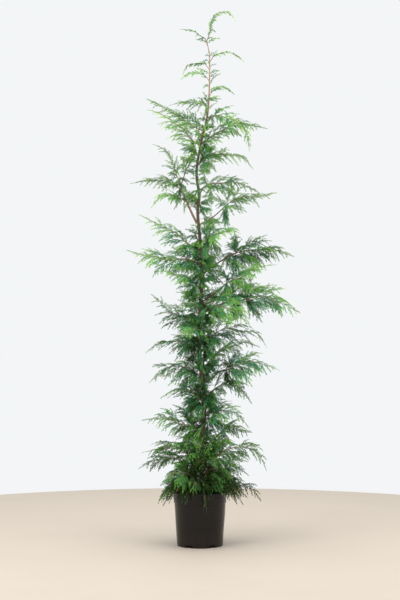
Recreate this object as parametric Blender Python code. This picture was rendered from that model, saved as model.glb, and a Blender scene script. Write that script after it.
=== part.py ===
"""Potted leyland cypress: a slender young conifer, 2.79 m tall with its nursery pot.

Metres, +Z up. The origin is the middle of the pot's flat underside. +X is the side where the
crown reaches furthest, and -Y is the front.
"""

import math
import random

import bmesh
import bpy
import numpy as np
from mathutils import Vector

# The gap between two pieces that touch.
GAP = 0.0003

# Edges that turn by more than this, in degrees, stay sharp on a round piece.
POT_SHARP_ANGLE = 30.0
LIMB_SHARP_ANGLE = 65.0

# Pot: outside radii and heights of a thin-walled, moulded nursery pot.
POT_HEIGHT = 0.275
POT_FOOT_RADIUS = 0.1185
POT_NECK_RADIUS = 0.1320
POT_RIM_RADIUS = 0.1360
POT_RIM_DEPTH = 0.057
POT_WALL = 0.0025
POT_FLOOR = 0.0030
POT_ROUNDING = 0.0020
POT_SIDES = 28
DRAIN_COUNT = 6
DRAIN_WIDTH = 0.033
DRAIN_HEIGHT = 0.0125
DRAIN_DEPTH = 0.012
DRAIN_FIRST_AZIMUTH = 2.0

# Soil: fills the pot to a little under its rim, and sinks slightly towards the wall.
SOIL_TOP = 0.247
SOIL_SINK = 0.006
SOIL_FLAT_RADIUS = 0.045

# Trunk: the height and the sideways place of each bend. The first leader was cut at the stub,
# and a side shoot took its place.
TRUNK_BENDS = (
    (0.247, 0.006),
    (0.500, 0.010),
    (0.750, 0.023),
    (0.930, 0.003),
    (1.080, -0.004),
    (1.430, 0.009),
    (1.720, -0.012),
    (1.810, -0.004),
    (1.935, -0.018),
    (2.090, 0.006),
    (2.170, 0.026),
    (2.290, 0.045),
    (2.520, 0.050),
    (2.625, 0.036),
)
TRUNK_SWAY = 0.008
TRUNK_SWAY_LENGTH = 1.3
TRUNK_BASE_RADIUS = 0.0150
TRUNK_TIP_RADIUS = 0.0017
TRUNK_TAPER = 0.8
FLARE_RADIUS = 0.0090
FLARE_HEIGHT = 0.030
FLARE_FADE = 0.015
TRUNK_SIDES = 9
TRUNK_RINGS_PER_BEND = 2
STUB_HEIGHT = 2.150
STUB_AZIMUTH = 180.0
STUB_SLOPE = 78.0
STUB_LENGTH = 0.035
STUB_RADIUS = 0.0045
STUB_TAPER = 0.9

# Boughs and the stems of the foliage.
BOUGH_SIDES = 6
BOUGH_STEPS = 5
BOUGH_FLARE = 1.35
STEM_SIDES = 3
STEM_STEPS = 5
STEM_TIP_RADIUS = 0.0012
RADIUS_PER_LENGTH = 0.0095
STEM_TAPER = 1.25

# Second stem: it leaves the trunk at 1.67 m and carries its own foliage. Height of its root,
# azimuth, length, slope at the root and at the tip.
SECOND_STEM = (1.665, 186, 0.250, 62, 72)
SECOND_STEM_RADIUS = 0.0065
SECOND_STEM_TIP_RADIUS = 0.0030

# Foliage. Each row is one plume, as it grows from the trunk or the second stem:
# name, height of its root, azimuth, length, slope at the root, slope at the tip (degrees),
# longest side shoot, share of the length that is bare.
TRUNK_PLUMES = (
    ("top_left_sprig", 2.600, 172, 0.165, 72, 0, 0.060, 0.10),
    ("top_right_1", 2.515, -15, 0.190, 52, -50, 0.075, 0.10),
    ("top_left_1", 2.475, 165, 0.160, 60, -60, 0.075, 0.10),
    ("top_left_2", 2.415, 205, 0.165, 50, -48, 0.095, 0.08),
    ("top_right_2", 2.335, 10, 0.140, 70, -45, 0.095, 0.08),
    ("top_left_3", 2.285, 182, 0.185, 14, -12, 0.095, 0.08),
    ("top_right_droop", 2.205, -28, 0.340, 20, -88, 0.150, 0.10),
    ("upper_left_1", 2.150, 172, 0.330, 34, 28, 0.160, 0.10),
    ("upper_left_2", 2.075, 150, 0.380, 44, 26, 0.170, 0.12),
    ("upper_right_1", 2.085, 16, 0.385, 55, -22, 0.170, 0.12),
    ("upper_right_2", 1.975, -22, 0.325, 42, -52, 0.150, 0.12),
    ("upper_right_3", 1.840, 22, 0.345, 36, -32, 0.160, 0.12),
    ("middle_left_1", 1.530, 178, 0.345, 37, 24, 0.170, 0.12),
    ("middle_front_1", 1.560, -48, 0.290, 28, -14, 0.160, 0.12),
    ("middle_left_2", 1.455, 188, 0.370, 9, 10, 0.180, 0.12),
    ("middle_left_3", 1.330, 214, 0.250, 34, 2, 0.160, 0.12),
    ("middle_right_3", 1.240, 30, 0.440, 29, -2, 0.195, 0.14),
    ("middle_front_2", 1.185, -52, 0.430, 27, -46, 0.195, 0.14),
    ("middle_left_4", 1.170, 188, 0.265, 0, 52, 0.170, 0.12),
    ("lower_left_1", 0.985, 192, 0.290, 53, -45, 0.170, 0.12),
    ("lower_right_1", 1.030, -14, 0.380, 52, -50, 0.190, 0.12),
    ("lower_right_2", 0.890, 32, 0.390, 60, -16, 0.190, 0.12),
    ("lower_left_2", 0.865, 163, 0.300, 47, -54, 0.180, 0.12),
    ("lower_front_1", 0.735, 217, 0.275, 50, -34, 0.180, 0.10),
    ("lower_right_4", 0.760, 34, 0.335, 54, -64, 0.180, 0.12),
    ("lower_front_2", 0.620, -32, 0.285, 58, -54, 0.180, 0.10),
    ("low_left_1", 0.570, 174, 0.305, 38, -10, 0.190, 0.12),
    ("low_right_1", 0.500, 42, 0.350, 43, -20, 0.190, 0.12),
    ("low_left_2", 0.425, 200, 0.320, 50, -26, 0.190, 0.10),
    ("low_right_2", 0.400, -8, 0.385, 64, -62, 0.195, 0.12),
    ("low_left_3", 0.345, 160, 0.360, 54, -38, 0.190, 0.12),
    ("low_front_1", 0.335, -58, 0.300, 56, -38, 0.180, 0.10),
    ("low_front_2", 0.310, 236, 0.320, 46, -28, 0.180, 0.10),
    ("low_right_3", 0.300, 18, 0.325, 22, -48, 0.160, 0.12),
    ("low_left_4", 0.295, 190, 0.230, 32, -66, 0.145, 0.12),
    ("back_1", 1.755, 100, 0.325, 48, -30, 0.160, 0.12),
    ("back_2", 1.400, 82, 0.380, 48, -34, 0.180, 0.12),
    ("back_3", 1.090, 104, 0.410, 48, -36, 0.190, 0.12),
    ("back_4", 0.700, 96, 0.370, 50, -40, 0.190, 0.12),
    ("back_5", 0.420, 108, 0.330, 48, -36, 0.190, 0.12),
    ("front_1", 1.030, 262, 0.380, 46, -34, 0.190, 0.12),
)
SECOND_STEM_PLUMES = (
    ("upper_left_3", 1.780, 206, 0.215, 46, -62, 0.110, 0.12),
    ("upper_left_4", 1.845, 168, 0.270, 38, -20, 0.145, 0.12),
    ("upper_front", 1.862, 300, 0.380, 70, 10, 0.145, 0.12),
    ("upper_left_5", None, 196, 0.220, 82, 28, 0.110, 0.10),
)
# These grow on boughs of their own, which run bare to where the foliage starts.
BOUGH_PLUMES = (
    ("middle_right_1", 1.660, 5, 0.430, 44, 3, 0.170, 0.30),
    ("middle_right_2", 1.405, 8, 0.500, 45, -21, 0.195, 0.30),
    ("middle_front_3", 1.255, -28, 0.445, 38, 10, 0.180, 0.30),
    ("middle_right_4", 1.160, -4, 0.570, 51, -43, 0.195, 0.32),
    ("lower_right_3", 0.835, -18, 0.410, 46, -24, 0.190, 0.26),
)
# The foliage at the very top carries the trunk on, and nods over at its tip.
LEADER_PLUME = (0.245, 75, -80, 0.065)
LEADER_NOD = 3.0
LEADER_ROLL = 75.0

# Side shoots of a plume. A long one is a twig with two sprays, and a short one is one spray.
# Each has its own stretch of the stem, and starts at some share of that stretch.
SHOOT_PITCH = 0.093
FEWEST_SHOOTS = 3
FIRST_SHOOT = 0.02
LAST_SHOOT = 0.96
SHOOT_PLACE = (0.2, 0.6)
SHOOT_LENGTH_CHANGE = 0.15
INNER_SHOOT = 0.92
SHOOT_TAPER = 0.30
SHOOT_ANGLE = 40.0
SHOOT_ANGLE_CHANGE = 9.0
SHOOT_RAISE = 8.0
PLUME_ROLL = (28.0, 58.0)
ROLL_CHANGE = 18.0
LONG_SHOOT = 0.180
TWIG_SHARE = 0.42
TWIG_RADIUS = 0.0016
TWIG_TIP_RADIUS = 0.0008
SIDE_SPRAY_START = 0.35
SIDE_SPRAY_LENGTH = 0.66
SIDE_SPRAY_ANGLE = 44.0
END_SPRAY_START = 0.75
END_SPRAY_SHARE = 0.34

# A flat spray is a toothed blade. Each row is one pair of teeth, as shares of its length:
# where the teeth start along its rib, and how far along and out they reach.
SPRAY_TEETH = (
    (0.12, 0.27, 0.36),
    (0.34, 0.29, 0.41),
    (0.57, 0.26, 0.30),
)
SPRAY_TIP_START = 0.78
SPRAY_RIB_HALF_WIDTH = 0.050
SPRAY_HALF_THICKNESS = 0.014
SPRAY_ROOT_SWELL = 1.3
SPRAY_NOD = 0.12
SPRAY_TWIST = 35.0
TOOTH_CHANGE = 0.25

# A spray or a twig is kept where balls round these places, as shares of its length, lie clear
# of the limbs, the pot and the next plumes. Otherwise it is tried again shorter.
SPRAY_BALLS = (0.35, 0.6, 0.85, 1.0)
TWIG_BALLS = (0.25, 0.5, 0.75, 1.0)
FOLIAGE_CLEARANCE = 0.0010
POT_CLEARANCE = 0.0080
SHORTER_TRIES = 4
SHORTER_BY = 0.80

SEED = 7

# Points of a joined mesh that lie nearer to each other than this are one point.
WELD = 0.000002

# A limb whose level part is smaller than this starts straight up.
UPRIGHT = 0.1

COLOURS = {
    "pot": ((0.018, 0.016, 0.015), 0.45),
    "soil": ((0.045, 0.028, 0.018), 0.95),
    "bark": ((0.150, 0.100, 0.070), 0.85),
    "foliage": ((0.070, 0.170, 0.060), 0.60),
}


def material(name):
    """The Principled material of one kind of piece."""
    colour, roughness = COLOURS[name]
    made = bpy.data.materials.new(name)
    made.use_nodes = True
    shader = made.node_tree.nodes["Principled BSDF"]
    shader.inputs["Base Color"].default_value = (*colour, 1.0)
    shader.inputs["Roughness"].default_value = roughness
    shader.inputs["Metallic"].default_value = 0.0
    return made


def add_object(name, mesh, kind, collection=None):
    """Turns a bmesh into an object of one kind of material."""
    data = bpy.data.meshes.new(name)
    mesh.to_mesh(data)
    mesh.free()
    made = bpy.data.objects.new(name, data)
    if kind:
        data.materials.append(material(kind))
    (collection or bpy.context.scene.collection).objects.link(made)
    return made


def shade_round(piece, sharp_angle):
    """Shades a round piece smooth, but for its sharp edges."""
    piece.data.shade_smooth()
    piece.data.set_sharp_from_angle(angle=math.radians(sharp_angle))


def turned(profile, sides):
    """A closed body turned round Z from (radius, height) points that start and end on the axis."""
    mesh = bmesh.new()
    rings = []
    for radius, height in profile:
        if radius == 0.0:
            rings.append([mesh.verts.new((0.0, 0.0, height))] * sides)
            continue
        ring = []
        for index in range(sides):
            turn = math.tau * index / sides
            ring.append(mesh.verts.new((radius * math.cos(turn), radius * math.sin(turn), height)))
        rings.append(ring)
    for low, high in zip(rings, rings[1:]):
        for index in range(sides):
            corners = [low[index - 1], low[index], high[index], high[index - 1]]
            mesh.faces.new(list(dict.fromkeys(corners)))
    bmesh.ops.recalc_face_normals(mesh, faces=mesh.faces)
    return mesh


def heading(azimuth, slope=0.0):
    """The unit vector at an azimuth and a slope, in degrees."""
    turn = math.radians(azimuth)
    rise = math.radians(slope)
    level = math.cos(rise)
    return Vector((level * math.cos(turn), level * math.sin(turn), math.sin(rise)))


def across(direction, side):
    """The unit vector square to a direction that lies nearest to a given side."""
    return (side - direction * side.dot(direction)).normalized()


def smooth_line(corners, steps):
    """Points on a smooth curve through corners, with a number of steps between each two."""
    padded = [corners[0], *corners, corners[-1]]
    points = []
    for before, start, end, after in zip(padded, padded[1:], padded[2:], padded[3:]):
        for step in range(steps):
            t = step / steps
            points.append(
                0.5
                * (
                    2.0 * start
                    + (end - before) * t
                    + (2.0 * before - 5.0 * start + 4.0 * end - after) * t**2
                    + (3.0 * start - before - 3.0 * end + after) * t**3
                )
            )
    return points + [corners[-1]]


def arching_line(root, azimuth, length, rise, finish, steps, nod=1.0):
    """Points along a shoot whose slope changes from its root to its tip, more late for a nod."""
    points = [root]
    for step in range(steps):
        slope = rise + (finish - rise) * ((step + 0.5) / steps) ** nod
        points.append(points[-1] + heading(azimuth, slope) * length / steps)
    return points


class Limb:
    """A tapering limb: the points of its centre line, its radii there and how its root is cut."""

    def __init__(self, points, radii, sides, root_normal=None):
        self.points = points
        self.radii = radii
        self.sides = sides
        self.root_normal = root_normal or self.direction(0)
        side = self.root_normal.cross(Vector((0.0, 0.0, 1.0)))
        if side.length < UPRIGHT:
            side = Vector((1.0, 0.0, 0.0))
        self.ring_axes = []
        for index in range(len(points)):
            direction = self.direction(index) if index else self.root_normal
            side = across(direction, side)
            self.ring_axes.append((side, direction.cross(side)))

    def direction(self, index):
        """The way that the limb runs at one of its points."""
        last = len(self.points) - 1
        return (self.points[min(index + 1, last)] - self.points[max(index - 1, 0)]).normalized()

    def at_share(self, share):
        """The point, direction and radius at a share of the points, from root to tip."""
        place = share * (len(self.points) - 1)
        index = min(int(place), len(self.points) - 2)
        rest = place - index
        point = self.points[index].lerp(self.points[index + 1], rest)
        radius = self.radii[index] * (1.0 - rest) + self.radii[index + 1] * rest
        direction = self.direction(index).lerp(self.direction(index + 1), rest).normalized()
        return point, direction, radius

    def share_at_height(self, height):
        """The share of the points at which a limb that climbs all the way is at a height."""
        for index, (low, high) in enumerate(zip(self.points, self.points[1:])):
            if low.z <= height <= high.z:
                return (index + (height - low.z) / (high.z - low.z)) / (len(self.points) - 1)
        raise ValueError(f"no part of the limb is at {height} m")

    def seat(self, height, azimuth):
        """Where a side limb starts on this one, just clear of it, and the way it is cut there.

        The limb has flat faces, so the seat lies as far out as the nearest of its edges.
        """
        if height is None:
            direction = self.direction(len(self.points) - 1)
            return self.points[-1] + direction * GAP, direction
        share = self.share_at_height(height)
        centre, direction, radius = self.at_share(share)
        outward = across(direction, heading(azimuth))
        side, up = self.ring_axes[round(share * (len(self.points) - 1))]
        corner = math.tau / self.sides
        past_edge = math.atan2(outward.dot(up), outward.dot(side)) % corner
        reach = radius * math.cos(min(past_edge, corner - past_edge))
        return centre + outward * (reach + GAP), outward

    def mesh(self):
        """The closed body of the limb, with flat ends."""
        mesh = bmesh.new()
        rings = []
        for point, radius, (side, up) in zip(self.points, self.radii, self.ring_axes):
            ring = []
            for corner in range(self.sides):
                turn = math.tau * corner / self.sides
                ring.append(
                    mesh.verts.new(point + (side * math.cos(turn) + up * math.sin(turn)) * radius)
                )
            rings.append(ring)
        for low, high in zip(rings, rings[1:]):
            for corner in range(self.sides):
                mesh.faces.new((low[corner - 1], low[corner], high[corner], high[corner - 1]))
        mesh.faces.new(reversed(rings[0]))
        mesh.faces.new(rings[-1])
        return mesh


def build_pot():
    """The moulded pot: tapered, open at the top, with a deep rim band and holes round its foot."""
    neck = POT_HEIGHT - POT_RIM_DEPTH
    lip = POT_HEIGHT - POT_ROUNDING
    profile = (
        (0.0, 0.0),
        (POT_FOOT_RADIUS - POT_ROUNDING, 0.0),
        (POT_FOOT_RADIUS, POT_ROUNDING),
        (POT_NECK_RADIUS, neck),
        (POT_RIM_RADIUS - POT_ROUNDING, neck + POT_ROUNDING),
        (POT_RIM_RADIUS, neck + 2.0 * POT_ROUNDING),
        (POT_RIM_RADIUS, lip),
        (POT_RIM_RADIUS - 0.5 * POT_WALL, POT_HEIGHT),
        (POT_RIM_RADIUS - POT_WALL, lip),
        (POT_RIM_RADIUS - POT_WALL, neck + 2.0 * POT_ROUNDING),
        (POT_NECK_RADIUS - POT_WALL, neck),
        (POT_FOOT_RADIUS - POT_WALL, POT_FLOOR),
        (0.0, POT_FLOOR),
    )
    pot = add_object("pot", turned(profile, POT_SIDES), "pot")
    shade_round(pot, POT_SHARP_ANGLE)
    for index in range(DRAIN_COUNT):
        azimuth = DRAIN_FIRST_AZIMUTH + 360.0 * index / DRAIN_COUNT
        mesh = bmesh.new()
        bmesh.ops.create_cube(mesh, size=1.0)
        cutter = add_object(f"drain_cutter_{index + 1}", mesh, None)
        cutter.scale = (2.0 * DRAIN_DEPTH, DRAIN_WIDTH, 2.0 * DRAIN_HEIGHT)
        cutter.rotation_euler.z = math.radians(azimuth)
        cutter.location = heading(azimuth) * POT_FOOT_RADIUS
        cutter.hide_render = True
        cutter.display_type = "WIRE"
        cut = pot.modifiers.new(f"drain_{index + 1}", "BOOLEAN")
        cut.operation = "DIFFERENCE"
        cut.object = cutter


def build_soil():
    """The soil that fills the pot, a hair clear of its wall."""
    neck = POT_HEIGHT - POT_RIM_DEPTH
    foot = POT_FOOT_RADIUS - POT_WALL - GAP
    throat = POT_NECK_RADIUS - POT_WALL - GAP
    mouth = POT_RIM_RADIUS - POT_WALL - GAP
    profile = (
        (0.0, POT_FLOOR + GAP),
        (foot, POT_FLOOR + GAP),
        (throat, neck),
        (mouth, neck + 2.0 * POT_ROUNDING + GAP),
        (mouth, SOIL_TOP - SOIL_SINK),
        (SOIL_FLAT_RADIUS, SOIL_TOP),
        (0.0, SOIL_TOP),
    )
    shade_round(add_object("soil", turned(profile, POT_SIDES), "soil"), POT_SHARP_ANGLE)


def trunk_limb():
    """The trunk's centre line and radii, from the soil to where the leader's foliage starts."""
    first = SOIL_TOP + GAP
    top = TRUNK_BENDS[-1][0]
    corners = []
    for height, sideways in TRUNK_BENDS:
        sway = TRUNK_SWAY * math.sin(math.tau * (height - SOIL_TOP) / TRUNK_SWAY_LENGTH)
        corners.append(Vector((sideways, sway, max(height, first))))
    points = smooth_line(corners, TRUNK_RINGS_PER_BEND)
    points.insert(1, points[0].lerp(points[1], FLARE_HEIGHT / (points[1].z - points[0].z)))
    radii = []
    for point in points:
        left = (top - point.z) / (top - first)
        taper = (TRUNK_BASE_RADIUS - TRUNK_TIP_RADIUS) * max(left, 0.0) ** TRUNK_TAPER
        flare = FLARE_RADIUS * math.exp(-(point.z - first) / FLARE_FADE)
        radii.append(TRUNK_TIP_RADIUS + taper + flare)
    return Limb(points, radii, TRUNK_SIDES, Vector((0.0, 0.0, 1.0)))


def second_stem_limb(trunk):
    """The second stem's centre line and radii, from its seat on the trunk."""
    height, azimuth, length, rise, finish = SECOND_STEM
    root, normal = trunk.seat(height, azimuth)
    line = arching_line(root, azimuth, length, rise, finish, BOUGH_STEPS)
    radii = []
    for index in range(BOUGH_STEPS + 1):
        thinned = (SECOND_STEM_RADIUS - SECOND_STEM_TIP_RADIUS) * index / BOUGH_STEPS
        radii.append(SECOND_STEM_RADIUS - thinned)
    return Limb(line, radii, BOUGH_SIDES, normal)


def build_bough(name, limb):
    """A bare bough as an object."""
    shade_round(add_object(name, limb.mesh(), "bark"), LIMB_SHARP_ANGLE)


def build_trunk(trunk):
    """The trunk, with the stub of its first leader joined on."""
    base = trunk.at_share(trunk.share_at_height(STUB_HEIGHT))[0]
    tip = base + heading(STUB_AZIMUTH, STUB_SLOPE) * STUB_LENGTH
    stub = Limb([base, tip], [STUB_RADIUS, STUB_RADIUS * STUB_TAPER], BOUGH_SIDES)
    shade_round(union("trunk", trunk.mesh(), [stub.mesh()], "bark"), LIMB_SHARP_ANGLE)


def union(name, first, others, kind):
    """Joins meshes into one closed body by a single Boolean on a collection of them.

    A join that doesn't close is made again with the other solver, then with one spray fewer.
    """
    start = bpy.data.meshes.new(name)
    first.to_mesh(start)
    first.free()
    group = bpy.data.collections.new(name + "_joined")
    bpy.context.scene.collection.children.link(group)
    for index, other in enumerate(others):
        add_object(f"{name}_{index}", other, None, group)
    body = bpy.data.objects.new(name, start)
    bpy.context.scene.collection.objects.link(body)
    while True:
        for solver in ("EXACT", "MANIFOLD"):
            join = body.modifiers.new("join", "BOOLEAN")
            join.operation = "UNION"
            join.operand_type = "COLLECTION"
            join.collection = group
            join.solver = solver
            evaluated = body.evaluated_get(bpy.context.evaluated_depsgraph_get())
            joined = bpy.data.meshes.new_from_object(evaluated)
            body.modifiers.remove(join)
            if keep_outer_shell(joined):
                break
        else:
            bpy.data.objects.remove(group.objects[-1])
            continue
        break
    body.data = joined
    joined.materials.clear()
    joined.materials.append(material(kind))
    for other in list(group.objects):
        bpy.data.objects.remove(other)
    bpy.data.collections.remove(group)
    return body


def keep_outer_shell(data):
    """Keeps a mesh's largest shell, without sealed hollows or scraps, and tells if it closes."""
    mesh = bmesh.new()
    mesh.from_mesh(data)
    bmesh.ops.remove_doubles(mesh, verts=mesh.verts, dist=WELD)
    bmesh.ops.dissolve_degenerate(mesh, dist=WELD, edges=mesh.edges)
    bmesh.ops.triangulate(mesh, faces=mesh.faces)
    waiting = set(mesh.faces)
    shells = []
    while waiting:
        shell = {waiting.pop()}
        border = list(shell)
        while border:
            face = border.pop()
            for edge in face.edges:
                for neighbour in edge.link_faces:
                    if neighbour in waiting:
                        waiting.remove(neighbour)
                        shell.add(neighbour)
                        border.append(neighbour)
        shells.append(shell)
    largest = max(shells, key=len)
    spare = [face for shell in shells if shell is not largest for face in shell]
    bmesh.ops.delete(mesh, geom=spare, context="FACES")
    closes = all(len(edge.link_faces) == 2 for edge in mesh.edges)
    mesh.to_mesh(data)
    mesh.free()
    return closes


class Plume:
    """One mass of foliage: its stem, and the bough that carries it if it has one."""

    def __init__(self, name, seat, azimuth, length, rise, finish, shoot, bare, nod=1.0):
        root, root_normal = seat
        self.name = name
        self.shoot = shoot
        self.bare = bare
        self.dice = random.Random(f"{SEED} {name}")
        self.roll = self.dice.uniform(*PLUME_ROLL) * self.dice.choice((-1.0, 1.0))
        self.line = arching_line(root, azimuth, length, rise, finish, BOUGH_STEPS, nod)
        self.length = length
        self.thick = RADIUS_PER_LENGTH * length
        self.bough = None
        self.stem = Limb(self.line, self.taper(0.0, 1.0, BOUGH_STEPS + 1), STEM_SIDES, root_normal)

    def taper(self, start, end, count):
        """Radii at evenly spaced places between two shares of the whole length."""
        radii = []
        for index in range(count):
            share = start + (end - start) * index / (count - 1)
            thin = STEM_TIP_RADIUS
            radii.append(thin + (self.thick - thin) * (1.0 - share) ** STEM_TAPER)
        return radii

    def split_bough(self):
        """Makes the bare part of the line a bough, and starts the stem just past its tip."""
        whole = self.stem
        bough_points = []
        stem_points = []
        for index in range(BOUGH_STEPS + 1):
            share = index / BOUGH_STEPS
            bough_points.append(whole.at_share(self.bare * share)[0])
            stem_points.append(whole.at_share(self.bare + (1.0 - self.bare) * share)[0])
        radii = self.taper(0.0, self.bare, BOUGH_STEPS + 1)
        radii[0] *= BOUGH_FLARE
        self.bough = Limb(bough_points, radii, BOUGH_SIDES, whole.root_normal)
        ahead = self.bough.direction(BOUGH_STEPS)
        stem_points[0] = bough_points[-1] + ahead * GAP
        radii = self.taper(self.bare, 1.0, BOUGH_STEPS + 1)
        self.stem = Limb(stem_points, radii, STEM_SIDES, ahead)


def all_plumes(trunk, second_stem):
    """Every plume of the crown, in its place on the limb that carries it."""
    plumes = []
    for carrier, rows in (
        (trunk, TRUNK_PLUMES),
        (second_stem, SECOND_STEM_PLUMES),
        (trunk, BOUGH_PLUMES),
    ):
        for name, height, azimuth, length, rise, finish, shoot, bare in rows:
            seat = carrier.seat(height, azimuth)
            plume = Plume(f"foliage_{name}", seat, azimuth, length, rise, finish, shoot, bare)
            if rows is BOUGH_PLUMES:
                plume.split_bough()
            plumes.append(plume)
    length, rise, finish, shoot = LEADER_PLUME
    seat = trunk.seat(None, 0.0)
    leader = Plume("foliage_top", seat, 0.0, length, rise, finish, shoot, 0.0, LEADER_NOD)
    leader.roll = LEADER_ROLL
    plumes.append(leader)
    return plumes


class Crown:
    """The space of each plume: what lies nearer to its stem than to any other, clear of limbs."""

    def __init__(self, plumes, limbs):
        starts = []
        ends = []
        owners = []
        for index, plume in enumerate(plumes):
            for start, end in zip(plume.stem.points, plume.stem.points[1:]):
                starts.append(start)
                ends.append(end)
                owners.append(index)
        self.owners = np.array(owners)
        self.stems = (np.array(starts), np.array(ends))
        starts = []
        ends = []
        radii = []
        for limb in limbs:
            for index, (start, end) in enumerate(zip(limb.points, limb.points[1:])):
                starts.append(start)
                ends.append(end)
                radii.append(max(limb.radii[index : index + 2]))
        self.limbs = (np.array(starts), np.array(ends))
        self.limb_radii = np.array(radii)

    @staticmethod
    def distances(point, segments):
        """The distance from a point to each of many segments."""
        starts, ends = segments
        runs = ends - starts
        share = np.einsum("ij,ij->i", point - starts, runs) / np.einsum("ij,ij->i", runs, runs)
        nearest = starts + runs * np.clip(share, 0.0, 1.0)[:, None]
        return np.linalg.norm(point - nearest, axis=1)

    def holds(self, owner, centres, radii):
        """Whether balls at some centres lie in the space of one plume."""
        for centre, radius in zip(centres, radii):
            point = np.array(centre)
            reach = radius + FOLIAGE_CLEARANCE
            if np.any(self.distances(point, self.limbs) - self.limb_radii < reach):
                return False
            below_rim = centre.z < POT_HEIGHT + radius + POT_CLEARANCE
            if below_rim and centre.xy.length < POT_RIM_RADIUS + radius + POT_CLEARANCE:
                return False
            gaps = self.distances(point, self.stems)
            own = gaps[self.owners == owner].min()
            if gaps[self.owners != owner].min() - own < 2.0 * reach:
                return False
        return True


def spray(root, way, length, side, dice):
    """A flat toothed blade that nods at its tip, and the balls that hold it."""
    twist = math.radians(dice.uniform(-SPRAY_TWIST, SPRAY_TWIST))
    side = across(way, side)
    side = side * math.cos(twist) + side.cross(way) * math.sin(twist)
    face = side.cross(way)
    if face.z < 0.0:
        face = -face

    def place(along, off, height=0.0):
        nod = SPRAY_NOD * along**2
        return root + (way * along + side * off + face * (height - nod)) * length

    mesh = bmesh.new()
    starts = [start for start, reach, out in SPRAY_TEETH]
    ends = [mesh.verts.new(place(0.0, 0.0)), mesh.verts.new(place(1.0, 0.0))]
    ribs = {}
    for face_hand in (1.0, -1.0):
        ribs[face_hand] = []
        for start in starts:
            thick = SPRAY_HALF_THICKNESS * (SPRAY_ROOT_SWELL - start) * face_hand
            ribs[face_hand].append(mesh.verts.new(place(start, 0.0, thick)))
    centres = [place(share, 0.0) for share in SPRAY_BALLS]
    for hand in (1.0, -1.0):
        notches = []
        for start in (*starts, SPRAY_TIP_START):
            notches.append(mesh.verts.new(place(start, hand * SPRAY_RIB_HALF_WIDTH)))
        teeth = []
        for start, reach, out in SPRAY_TEETH:
            grown = dice.uniform(1.0 - TOOTH_CHANGE, 1.0)
            corner = place(start + reach * grown, hand * out * grown)
            centres.append(corner)
            centres.append(corner.lerp(place(start, 0.0), 0.5))
            teeth.append(mesh.verts.new(corner))
        for rib in ribs.values():
            mesh.faces.new((ends[0], rib[0], notches[0]))
            for index, tooth in enumerate(teeth):
                mesh.faces.new((rib[index], notches[index], tooth))
                mesh.faces.new((rib[index], tooth, notches[index + 1]))
                mesh.faces.new((rib[index], notches[index + 1], [*rib, ends[1]][index + 1]))
    bmesh.ops.recalc_face_normals(mesh, faces=mesh.faces)
    return mesh, centres, [SPRAY_HALF_THICKNESS * length] * len(centres)


def twig(root, tip):
    """A three-sided twig that tapers to its tip, and the balls that hold it."""
    limb = Limb([root, tip], [TWIG_RADIUS, TWIG_TIP_RADIUS], STEM_SIDES)
    centres = [root.lerp(tip, share) for share in TWIG_BALLS]
    return limb.mesh(), centres, [TWIG_RADIUS] * len(centres)


def shoot_length(plume, along):
    """How long a side shoot is at a share of the stem: short, then long, then short again."""
    return plume.shoot * min(1.0, INNER_SHOOT + along) * (1.0 - along) ** SHOOT_TAPER


def side_shoots(plume):
    """Where each side shoot of a plume starts and the way it grows, by its seeded rule."""
    first = plume.bare if plume.bough is None else FIRST_SHOOT
    leafy = plume.length * (1.0 - plume.bare)
    count = max(FEWEST_SHOOTS, round(leafy / SHOOT_PITCH))
    dice = plume.dice
    for index in range(count):
        along = first + (LAST_SHOOT - first) * (index + dice.uniform(*SHOOT_PLACE)) / count
        root, direction, radius = plume.stem.at_share(along)
        level = across(direction, direction.cross(Vector((0.0, 0.0, 1.0))))
        lift = level.cross(direction)
        hand = 1.0 if index % 2 else -1.0
        roll = math.radians(plume.roll + dice.uniform(-ROLL_CHANGE, ROLL_CHANGE))
        raise_by = math.radians(SHOOT_RAISE)
        out = level * hand * math.cos(roll) + lift * hand * math.sin(roll)
        out = out * math.cos(raise_by) + lift * math.sin(raise_by)
        spread = math.radians(SHOOT_ANGLE + dice.uniform(-1.0, 1.0) * SHOOT_ANGLE_CHANGE)
        way = direction * math.cos(spread) + out * math.sin(spread)
        change = 1.0 + dice.uniform(-1.0, 1.0) * SHOOT_LENGTH_CHANGE
        length = shoot_length(plume, along) * change
        yield root, way.normalized(), direction, length, random.Random(f"{plume.name} {index}")


def grow(plume, owner, crown):
    """The twigs and sprays of one plume that stay in its own space."""
    pieces = []

    def offer(piece):
        mesh, centres, radii = piece
        if crown.holds(owner, centres, radii):
            pieces.append(mesh)
            return True
        mesh.free()
        return False

    for root, way, direction, length, dice in side_shoots(plume):
        side = direction - way * direction.dot(way)
        for attempt in range(SHORTER_TRIES):
            if length < LONG_SHOOT:
                if offer(spray(root, way, length, side, dice)):
                    break
            elif offer(twig(root, root + way * length * TWIG_SHARE)):
                start = root + way * length * TWIG_SHARE * END_SPRAY_START
                left = length * (1.0 - TWIG_SHARE * END_SPRAY_START)
                offer(spray(start, way, left, side, dice))
                turn = math.radians(SIDE_SPRAY_ANGLE)
                out = way * math.cos(turn) + side.normalized() * math.sin(turn)
                start = root + way * length * TWIG_SHARE * SIDE_SPRAY_START
                offer(spray(start, out, length * SIDE_SPRAY_LENGTH, side, dice))
                break
            length *= SHORTER_BY
    root, direction, radius = plume.stem.at_share(1.0 - END_SPRAY_SHARE)
    reach = plume.stem.points[-1] - root
    roll = math.radians(plume.roll)
    level = across(direction, direction.cross(Vector((0.0, 0.0, 1.0))))
    side = level * math.cos(roll) + level.cross(direction) * math.sin(roll)
    offer(spray(root, reach.normalized(), reach.length, side, plume.dice))
    return pieces


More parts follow.
